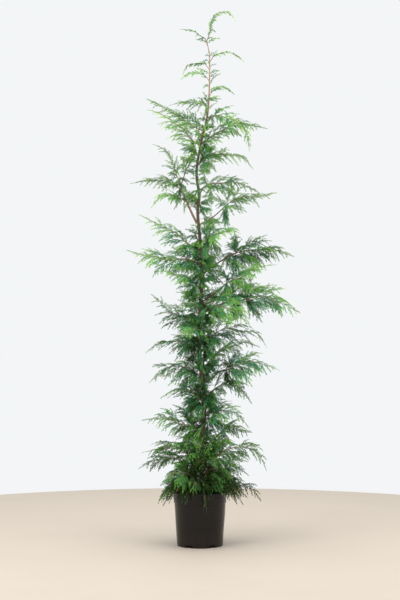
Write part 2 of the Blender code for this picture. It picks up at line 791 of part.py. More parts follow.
def build_plume(plume, owner, crown):
    """One mass of foliage, joined into a single body."""
    points = []
    radii = []
    for step in range(STEM_STEPS + 1):
        point, direction, radius = plume.stem.at_share(step / STEM_STEPS)
        points.append(point)
        radii.append(radius)
    stem = Limb(points, radii, STEM_SIDES, plume.stem.root_normal)
    union(plume.name, stem.mesh(), grow(plume, owner, crown), "foliage")


def build():
    """Builds the whole plant and its pot."""
    for old in list(bpy.data.objects):
        bpy.data.objects.remove(old)
    build_pot()
    build_soil()
    trunk = trunk_limb()
    build_trunk(trunk)
    second_stem = second_stem_limb(trunk)
    build_bough("bough_second_stem", second_stem)
    plumes = all_plumes(trunk, second_stem)
    limbs = [trunk, second_stem]
    for plume in plumes:
        if plume.bough:
            limbs.append(plume.bough)
            build_bough(plume.name.replace("foliage", "bough"), plume.bough)
    crown = Crown(plumes, limbs)
    for owner, plume in enumerate(plumes):
        build_plume(plume, owner, crown)


build()
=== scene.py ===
"""Potted leyland cypress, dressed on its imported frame: bark, twigs, leaf sprays, pot and soil.

Metres and degrees, +Z up, and the origin is in the middle of the pot's underside, as in the frame.
The crown grows again here by the rule of the solids, carried to finer twigs and to sprays of scale
leaves. A share runs from 0 to 1, and along a limb it counts from the root to the tip. Where chance
picks a value, a pair of numbers is its lowest and highest, and a single "change" is how far it may
lie to either side of its rule.
"""

import math
import random

import bpy
import numpy as np
from mathutils import Matrix, Vector, noise


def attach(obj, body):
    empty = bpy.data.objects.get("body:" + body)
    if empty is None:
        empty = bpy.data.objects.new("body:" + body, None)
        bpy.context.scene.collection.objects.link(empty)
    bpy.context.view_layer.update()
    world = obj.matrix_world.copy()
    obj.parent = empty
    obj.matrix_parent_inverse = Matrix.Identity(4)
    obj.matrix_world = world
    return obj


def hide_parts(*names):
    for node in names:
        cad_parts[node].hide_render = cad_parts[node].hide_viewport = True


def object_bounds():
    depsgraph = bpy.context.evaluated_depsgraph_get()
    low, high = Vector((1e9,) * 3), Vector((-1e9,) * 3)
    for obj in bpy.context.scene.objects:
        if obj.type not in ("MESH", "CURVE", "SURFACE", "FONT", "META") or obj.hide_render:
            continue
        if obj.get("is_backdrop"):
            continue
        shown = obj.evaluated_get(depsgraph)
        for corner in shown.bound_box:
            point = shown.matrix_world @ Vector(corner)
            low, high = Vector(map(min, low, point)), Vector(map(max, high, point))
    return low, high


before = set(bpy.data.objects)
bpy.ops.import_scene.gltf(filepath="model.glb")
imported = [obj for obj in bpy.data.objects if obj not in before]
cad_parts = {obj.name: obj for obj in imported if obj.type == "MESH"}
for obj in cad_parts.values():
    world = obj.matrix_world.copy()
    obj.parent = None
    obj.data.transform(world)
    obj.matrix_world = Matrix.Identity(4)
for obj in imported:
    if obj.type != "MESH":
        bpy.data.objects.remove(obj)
cad_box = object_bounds()

# The gap between pieces that touch, so that none cuts into its neighbour.
GAP = 0.0003

# The camera stands level with the lower third of the plant and looks slightly up. Its focal length
# is in pixels of a picture 600 pixels high, and the film that this is turned into is in mm.
CAMERA_PLACE = (0.0, -6.30, 1.00)
CAMERA_RISE = 2.41
FOCAL_PIXELS = 1212.0
PICTURE_HEIGHT = 600.0
FILM_HEIGHT = 36.0

# A round floor, and the plain pale backdrop behind it.
FLOOR_RADIUS = 2.6
FLOOR_SIDES = 128
BACKDROP = "#f3f5f7"

# Soft lights: name, place, width and watts. They all aim at the middle of the crown.
LIGHTS = (
    ("window_left", (-3.2, -3.0, 3.2), 3.0, 110.0),
    ("window_right", (3.4, -2.0, 2.8), 2.6, 55.0),
    ("ceiling", (0.0, -0.4, 4.8), 2.4, 150.0),
)
LIGHTS_AIM = (0.0, 0.0, 1.3)

# Pot: outside radii and heights, as in the solids, with a groove under the collar and a lip that
# bulges. The wall is out of round by the warp, but stiff near its foot.
POT_HEIGHT = 0.275
POT_FOOT_RADIUS = 0.1185
POT_NECK_RADIUS = 0.1320
POT_RIM_RADIUS = 0.1360
POT_RIM_DEPTH = 0.057
POT_WALL = 0.0025
POT_FLOOR = 0.0030
POT_ROUNDING = 0.0020
POT_LIP = 0.0035
POT_LIP_BULGE = 0.0010
POT_SIDES = 120
POT_WALL_STEPS = 9
POT_BAND_STEPS = 3
POT_WARP = 0.0016
POT_WARPS_PER_METRE = 9.0
POT_STIFF_FOOT = 0.06
POT_SHARP_ANGLE = 35.0
POT_GROOVE = 0.0022
POT_GROOVE_DROP = 0.0055

# Drain slots, evenly round the foot.
DRAIN_COUNT = 6
DRAIN_WIDTH = 0.033
DRAIN_HEIGHT = 0.0125
DRAIN_DEPTH = 0.012
DRAIN_FIRST_AZIMUTH = 2.0

# Soil, which sinks towards the wall and is lumpy on top. It is drawn in at its foot.
SOIL_TOP = 0.247
SOIL_SINK = 0.006
SOIL_SINK_POWER = 3
SOIL_RINGS = 30
SOIL_LUMPS = 0.0035
SOIL_LUMPS_PER_METRE = 55.0
SOIL_GRAINS_PER_METRE = 160.0
SOIL_GRAIN_SHARE = 0.6
SOIL_FOOT_INSET = 0.005
SOIL_FOOT_HEIGHT = 0.020

# Crumbs of bark and peat on the soil: uneven blocks, most of them small and all longer than they
# are wide, each tilted, and lifted by a share of its size.
CRUMB_COUNT = 900
CRUMB_SIZES = (0.0012, 0.0060)
CRUMB_SIZE_POWER = 3
CRUMB_STRETCH = ((1.0, 2.0), (0.6, 1.1), (0.35, 0.8))
CRUMB_CORNER_CHANGE = (0.7, 1.0)
CRUMB_TILT = 0.5
CRUMB_LIFT = 0.3
CRUMB_MARGIN = 0.006

# Trunk: the height and the sideways place of each bend, as in the solids. It sways a little from
# front to back as well, and flares at its root.
TRUNK_BENDS = (
    (0.247, 0.006),
    (0.500, 0.010),
    (0.750, 0.023),
    (0.930, 0.003),
    (1.080, -0.004),
    (1.430, 0.009),
    (1.720, -0.012),
    (1.810, -0.004),
    (1.935, -0.018),
    (2.090, 0.006),
    (2.170, 0.026),
    (2.290, 0.045),
    (2.520, 0.050),
    (2.625, 0.036),
)
TRUNK_SWAY = 0.008
TRUNK_SWAY_LENGTH = 1.3
TRUNK_BASE_RADIUS = 0.0150
TRUNK_TIP_RADIUS = 0.0017
TRUNK_TAPER = 0.8
FLARE_RADIUS = 0.0090
FLARE_FADE = 0.015
TRUNK_STEPS_PER_BEND = 2
STUB_HEIGHT = 2.150
STUB_AZIMUTH = 180.0
STUB_SLOPE = 78.0
STUB_LENGTH = 0.035
STUB_RADIUS = 0.0045
STUB_MIDDLE_TAPER = 0.95
STUB_TAPER = 0.9

# Boughs and stems. The second stem has the height of its root, azimuth, length, and its slopes at
# the root and at the tip.
BOUGH_STEPS = 5
SMOOTHER_STEPS = 4
STEM_TIP_RADIUS = 0.0008
RADIUS_PER_LENGTH = 0.0095
STEM_TAPER = 1.25
STEM_BEND = 0.035
SECOND_STEM = (1.665, 186, 0.250, 62, 72)
SECOND_STEM_RADIUS = 0.0065
SECOND_STEM_TIP_RADIUS = 0.0030

# The bark: how many rings and sides each limb's mesh has, how deep its relief is, and how many
# fissures and lumps there are to a metre. Fissures are narrow across a limb and long up it.
TRUNK_SMOOTH_STEPS = 12
TRUNK_MESH = (480, 28, 0.0009)
STUB_MESH = (12, 20, 0.0003)
SECOND_STEM_MESH = (80, 24, 0.0004)
BOUGH_MESH = (60, 20, 0.0004)
FISSURES_ACROSS = 420.0
FISSURES_ALONG = 55.0
FISSURE_SHARE = 0.6
LUMPS_PER_METRE = 90.0
LUMP_SHARE = 0.7
END_RELIEF = 0.15
BARK_SHARP_ANGLE = 60.0

# The heights between which each bark goes over from old to young.
TRUNK_BARK_HEIGHTS = (2.10, 2.40)
BOUGH_BARK_HEIGHTS = (1.30, 2.20)

# Foliage. Each row is one plume, as it grows from the trunk or the second stem:
# name, height of its root, azimuth, length, slope at the root, slope at the tip (degrees),
# longest side shoot, share of the length that is bare.
TRUNK_PLUMES = (
    ("top_left_sprig", 2.600, 172, 0.165, 72, 0, 0.060, 0.10),
    ("top_right_1", 2.515, -15, 0.190, 52, -50, 0.075, 0.10),
    ("top_left_1", 2.475, 165, 0.160, 60, -60, 0.075, 0.10),
    ("top_left_2", 2.415, 205, 0.165, 50, -48, 0.095, 0.08),
    ("top_right_2", 2.335, 10, 0.140, 70, -45, 0.095, 0.08),
    ("top_left_3", 2.285, 182, 0.185, 14, -12, 0.095, 0.08),
    ("top_right_droop", 2.205, -28, 0.340, 20, -88, 0.150, 0.10),
    ("upper_left_1", 2.150, 172, 0.330, 34, 28, 0.160, 0.10),
    ("upper_left_2", 2.075, 150, 0.380, 44, 26, 0.170, 0.12),
    ("upper_right_1", 2.085, 16, 0.385, 55, -22, 0.170, 0.12),
    ("upper_right_2", 1.975, -22, 0.325, 42, -52, 0.150, 0.12),
    ("upper_right_3", 1.840, 22, 0.345, 36, -32, 0.160, 0.12),
    ("middle_left_1", 1.530, 178, 0.345, 37, 24, 0.170, 0.12),
    ("middle_front_1", 1.560, -48, 0.290, 28, -14, 0.160, 0.12),
    ("middle_left_2", 1.455, 188, 0.370, 9, 10, 0.180, 0.12),
    ("middle_left_3", 1.330, 214, 0.250, 34, 2, 0.160, 0.12),
    ("middle_right_3", 1.240, 30, 0.440, 29, -2, 0.195, 0.14),
    ("middle_front_2", 1.185, -52, 0.430, 27, -46, 0.195, 0.14),
    ("middle_left_4", 1.170, 188, 0.265, 0, 52, 0.170, 0.12),
    ("lower_left_1", 0.985, 192, 0.290, 53, -45, 0.170, 0.12),
    ("lower_right_1", 1.030, -14, 0.380, 52, -50, 0.190, 0.12),
    ("lower_right_2", 0.890, 32, 0.390, 60, -16, 0.190, 0.12),
    ("lower_left_2", 0.865, 163, 0.300, 47, -54, 0.180, 0.12),
    ("lower_front_1", 0.735, 217, 0.275, 50, -34, 0.180, 0.10),
    ("lower_right_4", 0.760, 34, 0.335, 54, -64, 0.180, 0.12),
    ("lower_front_2", 0.620, -32, 0.285, 58, -54, 0.180, 0.10),
    ("low_left_1", 0.570, 174, 0.305, 38, -10, 0.190, 0.12),
    ("low_right_1", 0.500, 42, 0.350, 43, -20, 0.190, 0.12),
    ("low_left_2", 0.425, 200, 0.320, 50, -26, 0.190, 0.10),
    ("low_right_2", 0.400, -8, 0.385, 64, -62, 0.195, 0.12),
    ("low_left_3", 0.345, 160, 0.360, 54, -38, 0.190, 0.12),
    ("low_front_1", 0.335, -58, 0.300, 56, -38, 0.180, 0.10),
    ("low_front_2", 0.310, 236, 0.320, 46, -28, 0.180, 0.10),
    ("low_right_3", 0.300, 18, 0.325, 22, -48, 0.160, 0.12),
    ("low_left_4", 0.295, 190, 0.230, 32, -66, 0.145, 0.12),
    ("back_1", 1.755, 100, 0.325, 48, -30, 0.160, 0.12),
    ("back_2", 1.400, 82, 0.380, 48, -34, 0.180, 0.12),
    ("back_3", 1.090, 104, 0.410, 48, -36, 0.190, 0.12),
    ("back_4", 0.700, 96, 0.370, 50, -40, 0.190, 0.12),
    ("back_5", 0.420, 108, 0.330, 48, -36, 0.190, 0.12),
    ("front_1", 1.030, 262, 0.380, 46, -34, 0.190, 0.12),
)
SECOND_STEM_PLUMES = (
    ("upper_left_3", 1.780, 206, 0.215, 46, -62, 0.110, 0.12),
    ("upper_left_4", 1.845, 168, 0.270, 38, -20, 0.145, 0.12),
    ("upper_front", 1.862, 300, 0.380, 70, 10, 0.145, 0.12),
    ("upper_left_5", None, 196, 0.220, 82, 28, 0.110, 0.10),
)
BOUGH_PLUMES = (
    ("middle_right_1", 1.660, 5, 0.430, 44, 3, 0.170, 0.30),
    ("middle_right_2", 1.405, 8, 0.500, 45, -21, 0.195, 0.30),
    ("middle_front_3", 1.255, -28, 0.445, 38, 10, 0.180, 0.30),
    ("middle_right_4", 1.160, -4, 0.570, 51, -43, 0.195, 0.32),
    ("lower_right_3", 0.835, -18, 0.410, 46, -24, 0.190, 0.26),
)

# The leader nods at the trunk's tip: its length, its slopes and its longest side shoot.
LEADER_PLUME = (0.245, 75, -80, 0.065)
LEADER_NOD = 3.0
LEADER_ROLL = 75.0

# Side shoots of a plume, set closer than in the solids. They get shorter towards its tip, so that
# it ends in a point, lie in a plane that is rolled about the stem, and droop more near their tips.
SHOOT_PITCH = 0.0185
FIRST_SHOOT = 0.02
LAST_SHOOT = 0.92
SHOOT_PLACE = (0.2, 0.6)
SHOOT_LENGTH_CHANGE = 0.34
TIP_ROOM = 0.008
TIP_TAPER = 1.15
INNER_SHOOT = 0.92
SHOOT_TAPER = 0.95
SHOOT_ANGLE_CHANGE = 9.0
SHOOT_RAISE = 8.0
PLUME_ROLL = (28.0, 58.0)
ROLL_CHANGE = 18.0
SHOOT_STEPS = 6
FEATHER_STEPS = 4
SHOOT_FORWARD = 0.35
SHOOT_DROOP = (0.45, 1.35)
SHOOT_DROOP_LATE = 1.5
SHOOT_RADIUS = 0.0011
SHOOT_TIP_RADIUS = 0.0005
STEM_SIDES = 6
TWIG_SIDES = 3

# Shoots that fill the crown close round the trunk, where each plume starts: how many each plume has
# in each zone of the crown, and how they turn round its stem. Their length is a share of the
# plume's longest side shoot.
INNER_SHOOTS = {"top": 0, "upper": 6, "middle": 16, "lower": 16, "low": 25}
INNER_PLACE = (0.01, 0.20)
INNER_TURN = 137.5
INNER_TURN_CHANGE = 25.0
INNER_ANGLE = (45.0, 140.0)
INNER_LENGTH = (0.45, 0.95)

# Short shoots straight on the trunk, up to a rise above or below each plume's root. They are
# shorter still towards the top.
TRUNK_SHOOTS = {"top": 4, "upper": 14, "middle": 17, "lower": 20, "low": 16}
TRUNK_SHOOT_RISE = {"top": 0.035, "upper": 0.085, "middle": 0.085, "lower": 0.085, "low": 0.085}
TRUNK_SHOOT_LOWEST = SOIL_TOP + 0.02
TRUNK_SHOOT_HIGHEST = TRUNK_BENDS[-1][0] - 0.01
TRUNK_SHOOT_SLOPE = (5.0, 55.0)
TRUNK_SHOOT_SWING = 35.0
TRUNK_SHOOT_TURN_UP = 60.0
TRUNK_SHOOT_ALONG = 0.1
TRUNK_SHOOT_LENGTH = (0.05, 0.12)
TOP_TRUNK_SHOOTS_ABOVE = 2.12
TOP_TRUNK_SHOOT_SHARE = 0.55

# Shoots from the foot of the trunk that arch over the pot's rim and hang there, a few for each
# plume that has its root below a height. They count as far in, so that their leaves are painted
# dark, as painted shade under the crown.
HANGING_BELOW = 0.36
HANGING_ALONG = -0.26
HANGING_SHOOTS = 7
HANGING_ROOT = (0.272, 0.315)
HANGING_TURN = 55.0
HANGING_SLOPE = (22.0, 45.0)
HANGING_LENGTH = (0.16, 0.28)
HANGING_DROOP = (1.4, 2.6)

# The crown is more slender towards its top: how long its side shoots are in each zone, against the
# solids, how much more they droop there, and the angle that they leave the stem at.
SLENDER = {"top": 0.50, "upper": 0.72, "middle": 0.86, "lower": 0.74, "low": 0.94}
DROOP = {"top": 1.4, "upper": 1.0, "middle": 1.0, "lower": 1.2, "low": 1.5}
SPREAD = {"top": 27.0, "upper": 37.0, "middle": 40.0, "lower": 40.0, "low": 40.0}

# A side shoot that is long enough forks again into feathers, and their leaves are a little fresher.
# A shoot that leaves its space is tried a few times, each time shorter.
FEATHER_PITCH = 0.016
FEATHER_START = 0.16
FEATHER_END = 0.80
FEATHER_SHARE = 0.50
FEATHER_TAPER = 0.7
FEATHER_ANGLE = 37.0
FEATHER_ANGLE_CHANGE = 8.0
FEATHER_LENGTH_CHANGE = (0.75, 1.2)
FEATHER_OUTWARD = 0.5
FEATHER_LUCK = 0.06
FEATHER_ROLL = 22.0
FEATHER_SHORTEST = 0.022
FORKING_LENGTH = 0.070
SHORTER_TRIES = 7
SHORTER_BY = 0.80
SEED = 7

# How fresh a spray's leaves are, and how lit they are painted, from 0 for old ones in painted shade
# to 1: it grows along the plume and along the shoot, as tips are fresher and insides are painted in
# shade, and with height and towards the lit front, as painted light where the crown is lit. Each
# shoot and spray has its own luck.
PLUME_FRESHNESS = 0.46
SHOOT_FRESHNESS = 0.34
SHOOT_LUCK = 0.24
SPRAY_LUCK = 0.16
HEIGHT_LIFT = 0.28
HEIGHT_LIFT_FROM = 1.0
HEIGHT_LIFT_RANGE = (-0.1, 0.85)
FRONT_LIFT = 0.08
# Below a height the leaves are painted darker, as painted shade low in the crown over the pot's rim.
LOW_SHADE_BELOW = 0.42
LOW_SHADE = 0.15

# The name of each finish of the leaves, and the two colours that it wanders between. Deep green and
# blue-green stand for old leaves and for painted shade inside and low in the crown, fresh and new
# yellow-green for young growth and for painted light on the crown's top and front.
LEAF_COLOURS = {
    "deep": ("deep green scale leaves", "#1d2f10", "#2c461c"),
    "blue": ("blue-green scale leaves", "#25664a", "#3d8b62"),
    "mid": ("mid green scale leaves", "#3b6d29", "#55923e"),
    "fresh": ("fresh green scale leaves", "#5b9033", "#76ab4c"),
    "bright": ("new yellow-green scale leaves", "#82a83c", "#a0c458"),
    "withered": ("withered scale leaves", "#6e5230", "#93734a"),
}

# The colours of the leaves below each limit, which counts painted light as well as fresh growth, and
# bright above them all.
LEAF_LIMITS = (("deep", 0.15), ("blue", 0.25), ("mid", 0.52), ("fresh", 0.86))

# A few withered sprays stay on inside the crown, most of them low down.
WITHERED_WITHIN = 0.75
WITHERED_BELOW = 0.45
WITHERED_CHANCE_LOW = 0.03
WITHERED_CHANCE = 0.006

# The sprays that grow straight on a plume's own stem: how far out they count, for their colour, and
# where on it they begin.
STEM_ALONG = 0.40
CLOTHED_FROM = 0.10

# Sprays on a shoot or a feather. An outline says how long what grows on a stalk is: its length at
# the foot, how fast it gets longer there, and how it tapers to the tip.
SPRAY_PITCH = 0.0062
SPRAY_SHARE = 0.20
SPRAY_LEAST = 0.006
SPRAY_LONGEST = 0.027
SPRAY_FIRST = 0.04
SPRAY_FEWEST = 2
SPRAY_PLACE = (0.2, 0.8)
SPRAY_LENGTH_CHANGE = (0.75, 1.15)
SPRAY_OUTLINE = (0.6, 1.5, 0.4)
SPRAY_ANGLE = 32.0
SPRAY_ANGLE_CHANGE = 9.0
SPRAY_ROLL = 22.0
SPRAY_NOD = 0.14
SPRAY_MIDDLE = 0.6
SPRAY_SIZES = (0.010, 0.015, 0.022, 0.030)
SPRAY_SHORTEST = 0.7 * SPRAY_SIZES[0]
SPRAY_KINDS = 4
END_SPRAY_SHARE = 0.6
END_SPRAY_LEAST = 0.004

# The scale-clad branchlets on a spray and its stalk. They are larger than life, only as far as the
# count of triangles needs: 3.6 mm wide at the foot and 3.5 mm apart, where real ones are about
# 1.5 mm thick and 2 mm apart.
STALK_HALF_WIDTH = 0.0017
STALK_HALF_THICKNESS = 0.0009
BRANCHLET_PITCH = 0.0035
BRANCHLET_FEWEST = 3
BRANCHLET_FIRST = 0.05
BRANCHLET_SPAN = 0.88
BRANCHLET_REACH = 0.0085
BRANCHLET_SHARE = 0.42
BRANCHLET_LEAST = 0.0025
BRANCHLET_LENGTH_CHANGE = (0.8, 1.15)
BRANCHLET_OUTLINE = (0.55, 2.2, 0.5)
BRANCHLET_HALF_WIDTH = 0.0018
BRANCHLET_HALF_THICKNESS = 0.0009
BRANCHLET_ANGLE = 31.0
BRANCHLET_ANGLE_CHANGE = 8.0
BRANCHLET_LIFT = 0.25

# How much nearer to a neighbour's stem than to its own a spray may be, how far it keeps from limbs
# and the pot, and how far it may reach past the CAD box. The last two only serve to work that out.
SPACE_SLACK = 0.030
LIMB_CLEARANCE = 0.001
POT_CLEARANCE = 0.004
BOX_SLACK = 0.004
FAR_AWAY = 9.0
POINTS_AT_ONCE = 2000

# The share of middling leaves that are blue-green, as leaves are in the plant's own shade.
SHADED_SHARE = {"top": 0.3, "upper": 0.25, "middle": 0.35, "lower": 0.55, "low": 0.14}

# The lowest root of each zone of the crown.
ZONES = (("top", 2.32), ("upper", 1.60), ("middle", 1.10), ("lower", 0.60), ("low", 0.0))


def linear(hex_colour):
    """An sRGB hex colour as linear red, green, blue and alpha."""
    channels = [int(hex_colour[place : place + 2], 16) / 255.0 for place in (1, 3, 5)]
    return (*[c / 12.92 if c <= 0.04045 else ((c + 0.055) / 1.055) ** 2.4 for c in channels], 1.0)


def node(tree, kind, settings=None, values=None, links=None):
    """Adds a shader node with its settings, the values of its sockets and the links into them."""
    made = tree.nodes.new(kind)
    for name, value in (settings or {}).items():
        setattr(made, name, value)
    for socket, value in (values or {}).items():
        made.inputs[socket].default_value = value
    for socket, source in (links or {}).items():
        tree.links.new(source, made.inputs[socket])
    return made


def per_metre(millimetres):
    """The scale of a pattern on Object coordinates whose features have a size in millimetres."""
    return 1000.0 / millimetres


# The colour sockets of a Mix node.
MIX_FACTOR = 0
MIX_A = 6
MIX_B = 7
MIX_RESULT = 2


def blank_material(name, roughness, ior):
    """A Principled material to which a finish is added, and its shader."""
    made = bpy.data.materials.new(name)
    made.use_nodes = True
    shader = made.node_tree.nodes["Principled BSDF"]
    shader.inputs["Roughness"].default_value = roughness
    shader.inputs["IOR"].default_value = ior
    shader.inputs["Metallic"].default_value = 0.0
    return made, made.node_tree, shader


def mottled(name, roughness, ior, patch, detail, dark, light):
    """A material whose colour wanders between two in patches of a size in mm, and its shader."""
    made, tree, shader = blank_material(name, roughness, ior)
    place = node(tree, "ShaderNodeTexCoord").outputs["Object"]
    patches = node(
        tree,
        "ShaderNodeTexNoise",
        values={"Scale": per_metre(patch), "Detail": detail},
        links={"Vector": place},
    )
    colour = node(
        tree,
        "ShaderNodeMix",
        {"data_type": "RGBA"},
        {MIX_A: linear(dark), MIX_B: linear(light)},
        {MIX_FACTOR: patches.outputs["Fac"]},
    )
    tree.links.new(colour.outputs[MIX_RESULT], shader.inputs["Base Color"])
    return made, shader


def scale_leaves(name, shaded, lit):
    """Living scale leaves: waxy but without gloss, and mottled, so that no spray is one flat green.

    A leaf is only 2 mm long. The mottle is drawn 11 mm coarse, as it needs to show.
    """
    made, shader = mottled(name, 0.58, 1.40, 11.1, 2.0, shaded, lit)
    shader.inputs["Specular IOR Level"].default_value = 0.2
    return made


def young_bark():
    """Bark of this year and last on the stems: reddish tan and dull, with 17 mm patches."""
    return mottled("young bark", 0.7, 1.5, 16.7, 3.0, "#62452f", "#865f40")[0]


def green_twig():
    """Side shoots that are still clad in fading scale leaves: olive and dull, mottled as they are."""
    return mottled("green twig", 0.65, 1.45, 12.5, 2.0, "#3f5526", "#587536")[0]


def cypress_bark(name, old_below, young_above):
    """Thin dark brown bark that goes over to reddish tan on young wood, finely fissured.

    Real fissures are under 1 mm wide. They are drawn 4 mm wide and 22 mm long, so that they show
    as streaks along the limb.
    """
    made, tree, shader = blank_material(name, 0.82, 1.5)
    place = node(tree, "ShaderNodeTexCoord").outputs["Object"]
    height = node(tree, "ShaderNodeSeparateXYZ", links={"Vector": place}).outputs["Z"]
    youth = node(
        tree,
        "ShaderNodeMapRange",
        values={"From Min": old_below, "From Max": young_above, "To Min": 0.0, "To Max": 1.0},
        links={"Value": height},
    )
    stretched = node(
        tree,
        "ShaderNodeMapping",
        values={"Scale": (per_metre(3.85), per_metre(3.85), per_metre(22.2))},
        links={"Vector": place},
    )
    streaks = node(
        tree,
        "ShaderNodeTexNoise",
        values={"Scale": 1.0, "Detail": 5.0, "Roughness": 0.6},
        links={"Vector": stretched.outputs["Vector"]},
    )
    old = node(
        tree,
        "ShaderNodeMix",
        {"data_type": "RGBA"},
        {MIX_A: linear("#33261e"), MIX_B: linear("#695341")},
        {MIX_FACTOR: streaks.outputs["Fac"]},
    )
    young = node(
        tree,
        "ShaderNodeMix",
        {"data_type": "RGBA"},
        {MIX_A: linear("#7a5a40"), MIX_B: linear("#b3906c")},
        {MIX_FACTOR: streaks.outputs["Fac"]},
    )
    colour = node(
        tree,
        "ShaderNodeMix",
        {"data_type": "RGBA"},
        links={
            MIX_FACTOR: youth.outputs["Result"],
            MIX_A: old.outputs[MIX_RESULT],
            MIX_B: young.outputs[MIX_RESULT],
        },
    )
    relief = node(
        tree,
        "ShaderNodeBump",
        values={"Strength": 0.6, "Distance": 0.0008},
        links={"Height": streaks.outputs["Fac"]},
    )
    tree.links.new(colour.outputs[MIX_RESULT], shader.inputs["Base Color"])
    tree.links.new(relief.outputs["Normal"], shader.inputs["Normal"])
    return made


def moulded_polythene():
    """Black recycled polythene, injection moulded: dull, faintly streaked, dusty at the foot.

    The streaks are where water ran down, 33 mm wide. The mould's grain is much under 1 mm, and is
    drawn at 1.1 mm, so that it breaks up the shine.
    """
    made, tree, shader = blank_material("moulded polythene", 0.36, 1.5)
    shader.inputs["Specular IOR Level"].default_value = 0.26
    place = node(tree, "ShaderNodeTexCoord").outputs["Object"]
    height = node(tree, "ShaderNodeSeparateXYZ", links={"Vector": place}).outputs["Z"]
    stretched = node(
        tree,
        "ShaderNodeMapping",
        values={"Scale": (per_metre(33.3), per_metre(33.3), per_metre(200.0))},
        links={"Vector": place},
    )
    streaks = node(
        tree,
        "ShaderNodeTexNoise",
        values={"Scale": 1.0, "Detail": 6.0, "Roughness": 0.62},
        links={"Vector": stretched.outputs["Vector"]},
    )
    near_foot = node(
        tree,
        "ShaderNodeMapRange",
        values={"From Min": 0.0, "From Max": 0.09, "To Min": 0.5, "To Max": 0.1},
        links={"Value": height},
    )
    dust = node(
        tree,
        "ShaderNodeMath",
        {"operation": "MULTIPLY"},
        links={0: streaks.outputs["Fac"], 1: near_foot.outputs["Result"]},
    )
    colour = node(
        tree,
        "ShaderNodeMix",
        {"data_type": "RGBA"},
        {MIX_A: linear("#0b0908"), MIX_B: linear("#3b2e26")},
        {MIX_FACTOR: dust.outputs["Value"]},
    )
    dullness = node(
        tree,
        "ShaderNodeMapRange",
        values={"To Min": 0.16, "To Max": 0.36},
        links={"Value": streaks.outputs["Fac"]},
    )
    grain = node(
        tree,
        "ShaderNodeTexNoise",
        values={"Scale": per_metre(1.11), "Detail": 2.0},
        links={"Vector": place},
    )
    relief = node(
        tree,
        "ShaderNodeBump",
        values={"Strength": 0.25, "Distance": 0.0002},
        links={"Height": grain.outputs["Fac"]},
    )
    tree.links.new(colour.outputs[MIX_RESULT], shader.inputs["Base Color"])
    tree.links.new(dullness.outputs["Result"], shader.inputs["Roughness"])
    tree.links.new(relief.outputs["Normal"], shader.inputs["Normal"])
    return made


def potting_compost():
    """Bark-and-peat compost: brown on the crumbs on top, and black at its foot as painted shade in the
    hollows of the drain slots.

    Its noise has the 6 mm of the larger bits of bark.
    """
    made, tree, shader = blank_material("potting compost", 0.92, 1.4)
    shader.inputs["Specular IOR Level"].default_value = 0.15
    place = node(tree, "ShaderNodeTexCoord").outputs["Object"]
    crumbs = node(
        tree,
        "ShaderNodeTexNoise",
        values={"Scale": per_metre(6.25), "Detail": 6.0, "Roughness": 0.7},
        links={"Vector": place},
    )
    crumb_colour = node(
        tree,
        "ShaderNodeMix",
        {"data_type": "RGBA"},
        {MIX_A: linear("#1d1511"), MIX_B: linear("#59402e")},
        {MIX_FACTOR: crumbs.outputs["Fac"]},
    )
    # Painted shade: the compost goes black towards its foot, where the drain slots show it.
    height = node(tree, "ShaderNodeSeparateXYZ", links={"Vector": place}).outputs["Z"]
    above_painted_shade = node(
        tree,
        "ShaderNodeMapRange",
        values={"From Min": 0.02, "From Max": 0.12},
        links={"Value": height},
    )
    colour = node(
        tree,
        "ShaderNodeMix",
        {"data_type": "RGBA"},
        {MIX_A: linear("#050403")},
        {MIX_FACTOR: above_painted_shade.outputs["Result"], MIX_B: crumb_colour.outputs[MIX_RESULT]},
    )
    relief = node(
        tree,
        "ShaderNodeBump",
        values={"Strength": 0.8, "Distance": 0.0015},
        links={"Height": crumbs.outputs["Fac"]},
    )
    tree.links.new(colour.outputs[MIX_RESULT], shader.inputs["Base Color"])
    tree.links.new(relief.outputs["Normal"], shader.inputs["Normal"])
    return made


def pale_floor():
    """The plain pale floor of the studio: matt cast screed, very faintly clouded."""
    return mottled("matt cast screed", 0.7, 1.45, 333.0, 3.0, "#b3a799", "#b9ae9f")[0]


def heading(azimuth, slope=0.0):
    """The unit vector at an azimuth and a slope, in degrees."""
    turn = math.radians(azimuth)
    rise = math.radians(slope)
    level = math.cos(rise)
    return Vector((level * math.cos(turn), level * math.sin(turn), math.sin(rise)))


def across(direction, side):
    """The unit vector square to a direction that lies nearest to a given side."""
    return (side - direction * side.dot(direction)).normalized()


def smooth_line(corners, steps):
    """Points on a smooth curve through corners, with a number of steps between each two."""
    padded = [corners[0], *corners, corners[-1]]
    points = []
    for before, start, end, after in zip(padded, padded[1:], padded[2:], padded[3:]):
        for step in range(steps):
            t = step / steps
            points.append(
                0.5
                * (
                    2.0 * start
                    + (end - before) * t
                    + (2.0 * before - 5.0 * start + 4.0 * end - after) * t**2
                    + (3.0 * start - before - 3.0 * end + after) * t**3
                )
            )
    return points + [corners[-1]]


def arching_line(root, azimuth, length, rise, finish, steps, nod=1.0):
    """Points along a shoot whose slope changes from its root to its tip, more late for a nod."""
    points = [root]
    for step in range(steps):
        slope = rise + (finish - rise) * ((step + 0.5) / steps) ** nod
        points.append(points[-1] + heading(azimuth, slope) * length / steps)
    return points


